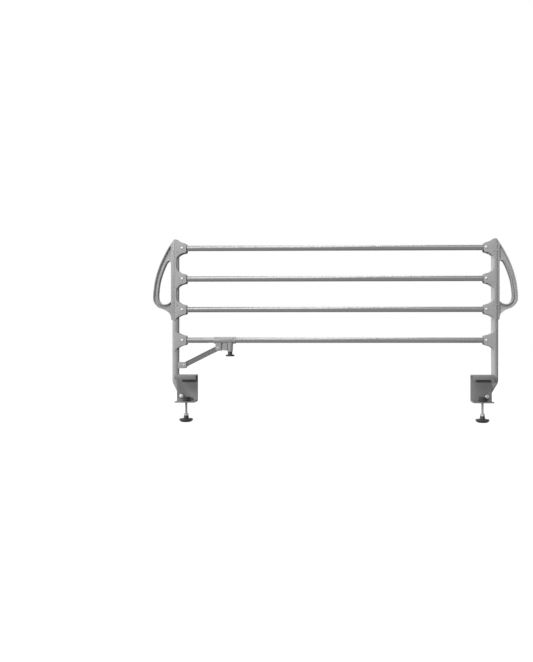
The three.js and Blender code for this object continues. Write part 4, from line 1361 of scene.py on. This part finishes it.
    def screw(self) -> Skin:
        """The threaded screw: its radius rises and falls once in each pitch, a step later for each part of a turn.

        Returns:
            The screw, with a thread that fades at both ends.
        """
        low = self.nut_top - self.knob_nut_height - self.knob_socket
        high = self.bottom + self.sheet + self.pad_lift + self.pad_socket - self.layout.gap
        z = np.linspace(low, high, int((high - low) / self.pitch * self.thread_rows))[:, None]
        angle = (np.arange(self.thread_sides) * 2 * np.pi / self.thread_sides)[None, :]
        phase = (z / self.pitch - angle / (2 * np.pi)) % 1.0
        ridge = np.clip(np.abs(phase - 0.5) * 2 * self.thread_slope - self.thread_flat, 0.0, 1.0)
        fade = np.clip(np.minimum(z - low, high - z) / self.thread_end, 0.0, 1.0)
        radius = self.screw_radius - self.thread_depth * (1 - (1 - ridge) * fade)
        return ring_skin(np.stack([radius * np.cos(angle), radius * np.sin(angle), np.broadcast_to(z, radius.shape)],
                                  axis=-1))

    def socketed(self, rows: Sequence, zero: float, mouth: float, floor: float) -> Array:
        """Closes a turned profile with a socket for the screw: up or down its wall, and over its floor.

        Args:
            rows: Radius, height and corner of each point of the outside, from the socket's mouth.
            zero: Z from which the heights are counted.
            mouth: Z of the socket's mouth.
            floor: Z of its floor.

        Returns:
            Radius and Z of each point.
        """
        bore = self.screw_bore
        outside = eased([[bore, mouth, SHARP], *(np.asarray(rows, float) + [0, zero, 0])])
        return np.concatenate([[[0, floor], [bore, floor]], outside])

    def knob_nut(self) -> Blank:
        """The steel nut on top of the knob.

        Returns:
            The nut.
        """
        low = self.nut_top - self.knob_nut_height
        nut = self.hexagon(self.nut_flats, low, self.nut_top, Axis.Z, (0, 0, 0))
        return nut.cut(shaft(self.screw_bore, low - PAST, self.nut_top + PAST, sides=40))

    def build(self, shop: Workshop) -> None:
        """Makes and dresses the clamp.

        Args:
            shop: The workshop.
        """
        gap, back, pad_z = self.layout.gap, self.throat / 2, self.bottom + self.sheet + self.pad_lift
        washer_y, spacer_y = back - gap - self.washer[1], back + self.sheet
        knob_z = self.nut_top - self.knob_nut_height - gap
        pad = self.socketed(self.pad, pad_z, pad_z, pad_z + self.pad_socket)
        hub = ((self.hub_radius, self.hub_height, self.hub_edge), *self.knob)
        knob = self.socketed(hub, knob_z - self.hub_height, knob_z, knob_z - self.knob_socket)
        for part, coat, shape in (
            ("pivot_washer", Coat.WASHER, self.ring(self.washer[0], washer_y, washer_y + self.washer[1],
                                                  self.washer_soft)),
            ("pivot_spacer", Coat.DARK, self.ring(self.spacer_radius, spacer_y + gap, spacer_y + self.to_post - gap,
                                                  self.spacer_soft)),
            ("clamp_pad", Coat.RUBBER, spin(pad, sides=64)),
            ("clamp_screw", Coat.SCREW, self.screw()),
            ("clamp_knob", Coat.BLACK, spin(knob, sides=96)),
            ("clamp_bracket", Coat.BRACKET, self.bracket()),
            ("pivot_bolt", Coat.ZINC, self.bolt()),
            ("pivot_lock_nut", Coat.ZINC, self.lock_nut()),
            ("knob_nut", Coat.SCREW, self.knob_nut()),
        ):
            turned = {"mirrored": self.end.mirrored} if isinstance(shape, Blank) else {}
            placed = shape.placed(self.end.at_bracket(), **turned)
            shop.piece(f"{part}_{self.end.name}_made", placed, coat, f"{self.end.name}_{part}")


@dataclass
class BraceLock:
    """The brace from the left post to the slider, and the spring plunger that locks the slider.

    It is drawn about the bottom tube's left pin.
    """

    layout: Layout
    foot: tuple[float, float] = (0.005, -0.100)
    length: float = 0.1539
    half_width: float = 0.0101
    half_depth: float = 0.004
    face_steps: tuple = (  # share of the half width, and depth below the face: a rim, a channel and a middle ridge
        (1.0, 0.0008), (0.97, 0.0002), (0.92, 0), (0.72, 0), (0.66, 0.0005), (0.6, 0.0018), (0.36, 0.002),
        (0.3, 0.0017), (0.24, 0.0009), (0.02, 0.0008),
    )
    back_steps: tuple = ((1.0, 0.0008), (0.97, 0.0002), (0.92, 0), (0.02, 0))
    boss_share: float = 0.86
    boss_edge: float = 0.0005
    boss_sunk: float = 0.001
    clevis_half: float = 0.009
    clevis_gap: float = 0.0007
    clevis_high: float = 0.0125
    clevis_reach: float = 0.011
    clevis_corner: float = 0.008
    clevis_soft: float = 0.0012
    pin_radius: float = 0.0035
    pin_head: tuple[float, float] = (0.005, 0.0022)
    pin_dish: tuple = ((0.32, 0.96), (0.24, 0.8), (0, 0.78))
    sleeve_radius: float = 0.0135
    sleeve_gap: float = 0.0005
    sleeve_edge: float = 0.0008
    sleeve_turn: float = 0.3  # where that edge's middle point lies, as a share of it
    before: float = 0.0166
    after: float = 0.0634
    collar: tuple[float, float] = (0.0139, 0.0063)
    collar_corners: tuple = (0.0002, 0.0008, 0.0015, 0.0002)
    eye_drop: float = 0.031
    eye_before: float = 0.0101
    eye_after: float = 0.0136
    eye_below: float = 0.0114
    eye_wall: float = 0.003
    eye_corners: tuple = (SHARP, 0.006, 0.0012, SHARP)
    eye_soft: float = 0.0009
    lap: float = 0.002  # how far two forms of the slider run into each other
    short: float = 0.001  # the same, where it stays small
    fork_roof: float = 0.013
    link: tuple[float, float, float] = (0.0074, 0.0035, 0.003)
    rib: tuple[float, float] = (0.0142, 0.008)
    rib_soft: float = 0.0006
    rib_grooves: int = 3
    rib_groove: float = 0.0015
    groove_depth: float = 0.0012
    groove_ends: tuple[float, float] = (0.003, 0.001)  # before the block's start, and short of its end
    barrel_after: float = 0.0477
    barrel_top: float = 0.01175
    barrel_foot: float = 0.0104
    barrel_below: float = 0.0148
    barrel_bore: float = 0.0075
    barrel_roof: float = 0.019
    barrel_edge: float = 0.0008
    barrel_shoulder: float = 0.0007
    guide_radius: float = 0.004
    guide_top: float = -0.004
    lock_radius: float = 0.0035
    lock_tip: tuple[float, float] = (-0.007, 0.0006)
    lock_collar: tuple[float, float] = (0.0068, 0.0032)
    retainer: tuple[float, float] = (0.0039, 0.0038)
    retainer_edge: float = 0.0004
    spring_radius: float = 0.0053
    wire: float = 0.0007
    wire_soft: float = 0.0003
    curls: int = 4
    curl_steps: int = 28
    pull_neck: tuple[float, float] = (0.009, 0.0115)
    pull_plate: tuple[float, float] = (0.0176, 0.007)
    pull_socket: float = 0.014
    pull_corners: tuple = (SHARP, 0.0012, 0.002, 0.0022, 0.003, SHARP)

    @property
    def rise(self) -> float:
        """How far the upper brace pin stands above the lower one."""
        return -self.foot[1] - self.eye_drop

    @property
    def eye_x(self) -> float:
        """The upper brace pin, right of the tube's left pin."""
        return self.foot[0] + math.sqrt(self.length**2 - self.rise**2)

    @property
    def barrel(self) -> tuple[float, float, float]:
        """Where the plunger's axis crosses the tube's."""
        return self.eye_x + self.barrel_after, 0, 0

    @property
    def barrel_end(self) -> float:
        """Z of the barrel's foot."""
        return -self.eye_drop - self.barrel_below

    @property
    def pin_bore(self) -> float:
        """Radius of a hole for a brace pin."""
        return self.pin_radius + self.layout.gap

    @property
    def tube_bore(self) -> float:
        """Radius of the slider's bore for the tube."""
        return self.layout.tube_radius + self.sleeve_gap

    @property
    def fork_half(self) -> float:
        """Half the width of a fork for the arm."""
        return self.half_depth + self.clevis_gap

    def place(self, points: Array) -> Array:
        """Carries points drawn from the bottom tube's left pin to their place."""
        return points + [LEFT.pivot_x, self.layout.rail_y, self.layout.tube_rows[0]]

    def arm(self) -> Blank:
        """The brace: stadium rings step in from its edge over its face and back, with a boss round each pin hole.

        Returns:
            The arm in its place.
        """
        r, h = self.half_width, self.half_depth
        turn = np.linspace(-np.pi / 2, np.pi / 2, num=25)
        cap = np.stack([self.length + r * np.cos(turn), r * np.sin(turn)], axis=1)
        line = np.concatenate([cap, -cap + [self.length, 0]])
        unit = line - np.stack([np.clip(line[:, 0], 0, self.length), np.zeros(len(line))], axis=1)
        front = np.array(self.face_steps)[::-1] + [0, -h]
        stack = np.concatenate([front, np.array(self.back_steps) * [1, -1] + [0, h]])
        flat = (line - unit) + unit * stack[:, 0, None, None]
        depth = np.broadcast_to(stack[:, 1:], flat.shape[:2])
        tilt = math.asin(self.rise / self.length)
        turned = np.array([[math.cos(tilt), 0, math.sin(tilt)], [0, 1, 0], [-math.sin(tilt), 0, math.cos(tilt)]])
        skin = ring_skin(np.stack([flat[..., 0], depth, flat[..., 1]], axis=-1))
        blank = Blank(skin.placed(lambda p: self.place(p @ turned + [self.foot[0], 0, self.foot[1]])))
        ends = ((self.foot[0], 0, self.foot[1]), (self.eye_x, 0, -self.eye_drop))
        spots = [self.place(np.array(end)) for end in ends]
        wide, edge, back = r * self.boss_share, self.boss_edge, h - self.boss_sunk
        boss = [[0, -h], [wide - edge, -h], [wide, -h + edge], [wide, back], [0, back]]
        blank.add(*(spin(boss, sides=40, axis=Axis.Y, centre=at) for at in spots))
        return blank.cut(*(shaft(self.pin_bore, -PAST, PAST, sides=32, axis=Axis.Y, centre=at) for at in spots))

    def clevis(self) -> Blank:
        """The clevis that is saddled to the left post.

        Returns:
            The clevis.
        """
        post, (x, z), far = -LEFT.pin_offset, self.foot, 3 * PAST
        line = rounded(corners((post, x + self.clevis_reach), (z - self.clevis_high, z + self.clevis_high)),
                       [SHARP, self.clevis_corner, self.clevis_corner, SHARP], steps=10)
        axis = np.array([[post, 0, z - far], [post, 0, z + far]])
        saddle = rod(axis, self.layout.post_radius + self.layout.gap, sides=64)
        fork = block([x - self.half_width - self.layout.swing, x + far], [-self.fork_half, self.fork_half],
                     [z - far, z + far])
        hole = shaft(self.pin_bore, -2 * PAST, 2 * PAST, sides=32, axis=Axis.Y, centre=(x, 0, z))
        return Blank(slab(line, -self.clevis_half, self.clevis_half, self.clevis_soft)).cut(saddle, fork, hole)

    def grooves(self, start: float, stop: float, low: float) -> list[Skin]:
        """The tools that cut the grooves across both faces of the ribbed block.

        Args:
            start: Where the block starts along the tube.
            stop: Where it ends.
            low: Z of the eye block's underside.

        Returns:
            The tools, from the lowest groove.
        """
        room = (-self.sleeve_radius - low) / (self.rib_grooves + 1)
        half, (before, short), tools = self.rib_groove / 2, self.groove_ends, []
        for z in low + np.arange(1, self.rib_grooves + 1) * room:
            for side in (-1, 1):
                y = sorted((side * (self.rib[1] - self.groove_depth), side * (self.rib[1] + PAST)))
                tools.append(block([start - before, stop - short], y, [z - half, z + half]))
        return tools

    def body(self) -> Blank:
        """The slider: a sleeve on the tube with the brace's eye block, a ribbed block and the plunger barrel below.

        The bore is cut last, and no ring lies on another's line, so that each step stays closed.

        Returns:
            The slider.
        """
        eye, r, s, roof = self.eye_x, self.sleeve_radius, self.sleeve_edge, -self.barrel_roof
        left, right, low = eye - self.before, eye + self.after, -self.eye_drop - self.eye_below
        start, stop = eye - self.eye_before, eye + self.eye_after
        rib_start = stop + self.link[0]
        rib_stop = rib_start + self.rib[0]
        foot, b, edge = self.barrel_end, self.barrel_foot, self.barrel_edge
        turn, lap, short = s * self.sleeve_turn, self.lap, self.short
        sleeve = [[0, left], [r - s, left], [r - turn, left + turn], [r, left + s], [r, right - s],
                  [r - turn, right - turn], [r - s, right], [0, right]]
        cheek = rounded([[start, short], [start, low], [stop, low], [stop, short]], self.eye_corners, steps=8)
        barrel = [[0, lap], [self.barrel_top, lap], [self.barrel_top, self.barrel_shoulder - r], [b, foot + edge],
                  [b - edge, foot], [0, foot]]
        link, ribs = [-self.link[1], self.link[1]], [-self.rib[1], self.rib[1]]
        blank = Blank(spin(sleeve, sides=64, axis=Axis.X)).add(
            slab(cheek, -self.clevis_half, self.clevis_half, self.eye_soft),
            block([stop - lap, rib_start + lap], link, [low + self.link[2], -short]),
            block([rib_start, rib_stop + lap], ribs, [low + self.rib_groove, 0], self.rib_soft),
            spin(barrel, sides=64, axis=Axis.Z, centre=self.barrel),
        )
        fork = block([start - PAST, stop - self.eye_wall], [-self.fork_half, self.fork_half],
                     [low - PAST, self.fork_roof - self.eye_drop])
        return blank.cut(
            fork,
            shaft(self.pin_bore, -2 * PAST, 2 * PAST, sides=34, axis=Axis.Y, centre=(eye, 0, -self.eye_drop)),
            shaft(self.barrel_bore, foot - PAST, roof, sides=50, centre=self.barrel),
            shaft(self.guide_radius, roof - short, self.guide_top, sides=34, centre=self.barrel),
            *self.grooves(rib_start, rib_stop, low),
            rod(np.array([[left - PAST, 0, 0], [right + PAST, 0, 0]]), self.tube_bore, sides=66),
        )

    def collar_ring(self) -> Skin:
        """The collar at the sleeve's right end, rounded most at its far edge.

        Returns:
            The collar.
        """
        start, (wide, length) = self.eye_x + self.after + self.layout.gap, self.collar
        line = rounded(corners((self.tube_bore, wide), (start, start + length)), self.collar_corners, steps=4)
        return spin(line, sides=64, axis=Axis.X, ring=True)

    def bush(self) -> Skin:
        """The bush that holds the spring in the barrel.

        Returns:
            The bush.
        """
        gap, (hole, thick) = self.layout.gap, self.retainer
        low = self.barrel_end + gap
        line = rounded(corners((hole, self.barrel_bore - gap), (low, low + thick)), self.retainer_edge, steps=3)
        return spin(line, sides=48, centre=self.barrel, ring=True)

    def lock_pin(self) -> Skin:
        """The lock pin: a chamfered tip, a collar under the barrel's roof, and a stem into the pull knob.

        Returns:
            The pin.
        """
        r, gap, (tip, edge), (wide, high) = self.lock_radius, self.layout.gap, self.lock_tip, self.lock_collar
        top, foot = -self.barrel_roof - gap, self.barrel_end - gap - self.pull_socket + gap
        return spin([[0, tip], [r - edge, tip], [r, tip - edge], [r, top], [wide, top], [wide, top - high],
                     [r, top - high], [r, foot], [0, foot]], sides=40, centre=self.barrel)

    def pull(self) -> Skin:
        """The pull knob: a neck that flares into a round plate, with a socket for the pin.

        Returns:
            The knob.
        """
        top, bore = self.barrel_end - self.layout.gap, self.lock_radius + self.layout.gap
        (neck, high), (wide, thick) = self.pull_neck, self.pull_plate
        rim = top - high
        line = [[bore, top], [neck, top], [neck, rim], [wide, rim], [wide, rim - thick], [0, rim - thick]]
        outside = rounded(line, self.pull_corners, steps=6, loop=False)
        floor = top - self.pull_socket
        return spin(np.concatenate([[[0, floor], [bore, floor]], outside]), sides=72, centre=self.barrel)

    def spring(self) -> Skin:
        """The spring: a wire carried up a helix about the lock pin.

        Returns:
            The spring.
        """
        gap, r = self.layout.gap, self.spring_radius
        low = self.barrel_end + gap + self.retainer[1] + gap + self.wire
        high = -self.barrel_roof - 2 * gap - self.lock_collar[1] - self.wire
        t = np.linspace(0.0, 1.0, self.curls * self.curl_steps + 1)
        turn = 2 * np.pi * self.curls * t
        path = np.stack([self.barrel[0] + r * np.cos(turn), r * np.sin(turn), low + (high - low) * t], axis=1)
        return rod(path, self.wire, sides=12, up=(0, 0, 1), soft=self.wire_soft)

    def pin(self, x: float, z: float, out: int = 0) -> Skin:
        """A brace rivet along Y, or a stud in one cheek when a side is given.

        Args:
            x: Its place along the tube.
            z: Its height.
            out: -1 for a stud in the front cheek, 1 for one in the rear cheek, 0 for a rivet through both.

        Returns:
            The rivet or the stud.
        """
        face = self.clevis_half + self.layout.gap
        back = np.concatenate([[[self.pin_radius, face]], domed_head(self.pin_head, face, self.pin_dish)])
        if out:
            stud = np.concatenate([[[0, self.fork_half], [self.pin_radius, self.fork_half]], back])
            line = stud * [1, out]
        else:
            line = np.concatenate([back[::-1] * [1, -1], back])
        return spin(line, sides=40, axis=Axis.Y, centre=(x, 0, z))

    def build(self, shop: Workshop) -> None:
        """Makes and dresses the brace, the slider and the plunger.

        Args:
            shop: The workshop.
        """
        shop.piece("brace_bar", self.arm(), Coat.BRACE, "brace_arm")
        for name, shape, coat, node in (
            ("brace_saddle", self.clevis(), Coat.CASTING, "brace_clevis"),
            ("slider_casting", self.body(), Coat.SLIDER, "slider_body"),
            ("slider_collar_made", self.collar_ring(), Coat.COLLAR, "slider_collar"),
            ("plunger_bush_made", self.bush(), Coat.DARK, "plunger_retainer"),
            ("locking_pin_made", self.lock_pin(), Coat.ZINC, "lock_pin"),
            ("pull_button_made", self.pull(), Coat.BLACK, "pull_knob"),
            ("plunger_coil", self.spring(), Coat.ZINC, "plunger_spring"),
            ("brace_foot_rivet", self.pin(*self.foot), Coat.PIN, "brace_foot_pin"),
            ("brace_eye_rivet_front", self.pin(self.eye_x, -self.eye_drop, -1), Coat.PIN, "brace_eye_stud_front"),
            ("brace_eye_rivet_rear", self.pin(self.eye_x, -self.eye_drop, 1), Coat.PIN, "brace_eye_stud_rear"),
        ):
            shop.piece(name, shape.placed(self.place), coat, node)


@dataclass
class Studio:
    """The floor, the lamps, the white surround and the camera at the photograph's place.

    A far lamp's row holds its name, degrees left of the camera's side seen from above, degrees above the horizon, its
    light on a face square to it, where 1 shows a colour as written, and its apparent width in degrees. A soft box's
    row holds its name, place, width, height and power.
    """

    focal: float = 622.69
    frame_wide: float = 533.0
    frame_high: float = 662.0
    centre_u: float = 319.08
    centre_v: float = 340.255
    spot: tuple[float, float, float] = (0.58170, -2.4513, 0.14001)
    turn: float = 1.302
    sensor: float = 36.0
    far_clip: float = 60.0
    middle: tuple[float, float, float] = (0.58, 0.03, 0.2)
    floor_z: float = -0.184
    floor_half: float = 12.0
    floor_grid: int = 12
    paper: float = 0.2
    paper_roughness: float = 0.9
    ambient: float = 0.07
    lift: float = 0.92
    lamp_distance: float = 6.0
    far_lamps: tuple = (
        ("key_left", 29, 15, 0.7, 5),
        ("side_left", 98, 12, 0.75, 15),
        ("rear_top", 180, 72, 0.3, 20),
    )
    soft_boxes: tuple = (
        ("top_box", (-0.1, -1.4, 2.5), 1.9, 2.1, 64),
        ("right_box", (1.5, -1.4, 2.5), 1.2, 2.1, 14),
    )

    def camera(self) -> None:
        """Sets the camera: focal length and shift as shares of the frame's long side."""
        data = bpy.data.cameras.new("front_view")
        data.sensor_width = self.sensor
        data.lens = self.focal / self.frame_high * data.sensor_width
        data.shift_x = -(self.centre_u - self.frame_wide / 2) / self.frame_high
        data.shift_y = (self.centre_v - self.frame_high / 2) / self.frame_high
        data.clip_end = self.far_clip
        obj = hung("front_view", data)
        obj.location = self.spot
        obj.rotation_euler = (math.pi / 2, 0, math.radians(self.turn))
        bpy.context.scene.camera = obj

    def floor(self) -> None:
        """A wide pale floor that reads white and keeps the rail's soft shadow."""
        cells = np.arange(self.floor_grid)
        across = self.floor_grid + 1
        side = np.linspace(-self.floor_half, self.floor_half, across)
        x, y = np.meshgrid(side, side)
        points = np.stack([x.ravel(), y.ravel(), np.full(x.size, self.floor_z)], axis=1)
        a = (cells[:, None] * across + cells).ravel()
        faces = np.stack([a, a + 1, a + across + 1, a + across], axis=1)
        mesh = Skin(points, faces.tolist()).mesh("studio_floor")
        obj = hung("studio_floor", mesh)
        made = bpy.data.materials.new("studio_floor_paper")
        made.use_nodes = True
        tree = made.node_tree
        glow = added(tree, "Math", {0: self.seen(tree), 1: self.lift}, operation="MULTIPLY").outputs["Value"]
        fill(tree, tree.nodes["Principled BSDF"], {
            "Base Color": (self.paper, self.paper, self.paper, 1), "Roughness": self.paper_roughness,
            "Specular IOR Level": 0.0,
            "Emission Color": (1, 1, 1, 1), "Emission Strength": glow,
        })
        mesh.materials.append(made)

    def surround(self) -> None:
        """A surround that is white to the camera, in gloss and through glass, and lights the rail softly all round."""
        world = bpy.data.worlds.new("studio_surround")
        bpy.context.scene.world = world
        world.use_nodes = True
        tree = world.node_tree
        level = spread_over(tree, self.seen(tree), self.ambient, 1.0)
        fill(tree, tree.nodes["Background"], {"Strength": level, "Color": (1, 1, 1, 1)})

    def seen(self, tree: bpy.types.NodeTree) -> bpy.types.NodeSocket:
        """Adds the nodes that give 1 for a ray from the camera, in gloss or through glass, and 0 for the rest.

        Args:
            tree: The node tree that they go into.

        Returns:
            Their output.
        """
        path = added(tree, "LightPath", {}).outputs
        both = path["Is Camera Ray"]
        for ray in ("Is Glossy Ray", "Is Transmission Ray"):
            both = added(tree, "Math", {0: both, 1: path[ray]}, operation="MAXIMUM").outputs["Value"]
        return both

    def aimed(self, name: str, data: bpy.types.Light, spot: Sequence) -> None:
        """Hangs a lamp so that it looks at the rail's middle.

        Args:
            name: Its name.
            data: The lamp.
            spot: Where it hangs.
        """
        obj = hung(name, data)
        obj.location = spot
        way = np.subtract(self.middle, spot)
        flat = math.hypot(way[0], way[1])
        obj.rotation_euler = (math.atan2(flat, -way[2]), 0, math.atan2(way[1], way[0]) - math.pi / 2)

    def lamps(self) -> None:
        """Hangs the far, even lamps and the wide soft boxes."""
        for name, azimuth, height, level, spread in self.far_lamps:
            data = bpy.data.lights.new(name, "SUN")
            data.energy = level * math.pi
            data.angle = math.radians(spread)
            turn, rise = math.radians(azimuth), math.radians(height)
            way = np.array([-math.sin(turn) * math.cos(rise), -math.cos(turn) * math.cos(rise), math.sin(rise)])
            self.aimed(name, data, self.middle + way * self.lamp_distance)
        for name, spot, wide, high, power in self.soft_boxes:
            data = bpy.data.lights.new(name, "AREA")
            data.shape = "RECTANGLE"
            data.size, data.size_y = wide, high
            data.energy = power
            self.aimed(name, data, spot)

    def build(self) -> None:
        """Sets the whole studio."""
        self.camera()
        self.floor()
        self.surround()
        self.lamps()
        bpy.context.scene.view_settings.view_transform = "Standard"


def main() -> None:
    """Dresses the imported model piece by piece, then sets the studio."""
    logging.basicConfig(level=logging.INFO, format="%(message)s")
    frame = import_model()
    shop = Workshop(frame)
    layout = Layout()
    RailTubes(layout).build(shop)
    for end in (LEFT, RIGHT):
        Post(layout, end).build(shop)
        Clamp(layout, end).build(shop)
    BraceLock(layout).build(shop)
    Studio().build()


if __name__ == "__main__":
    main()
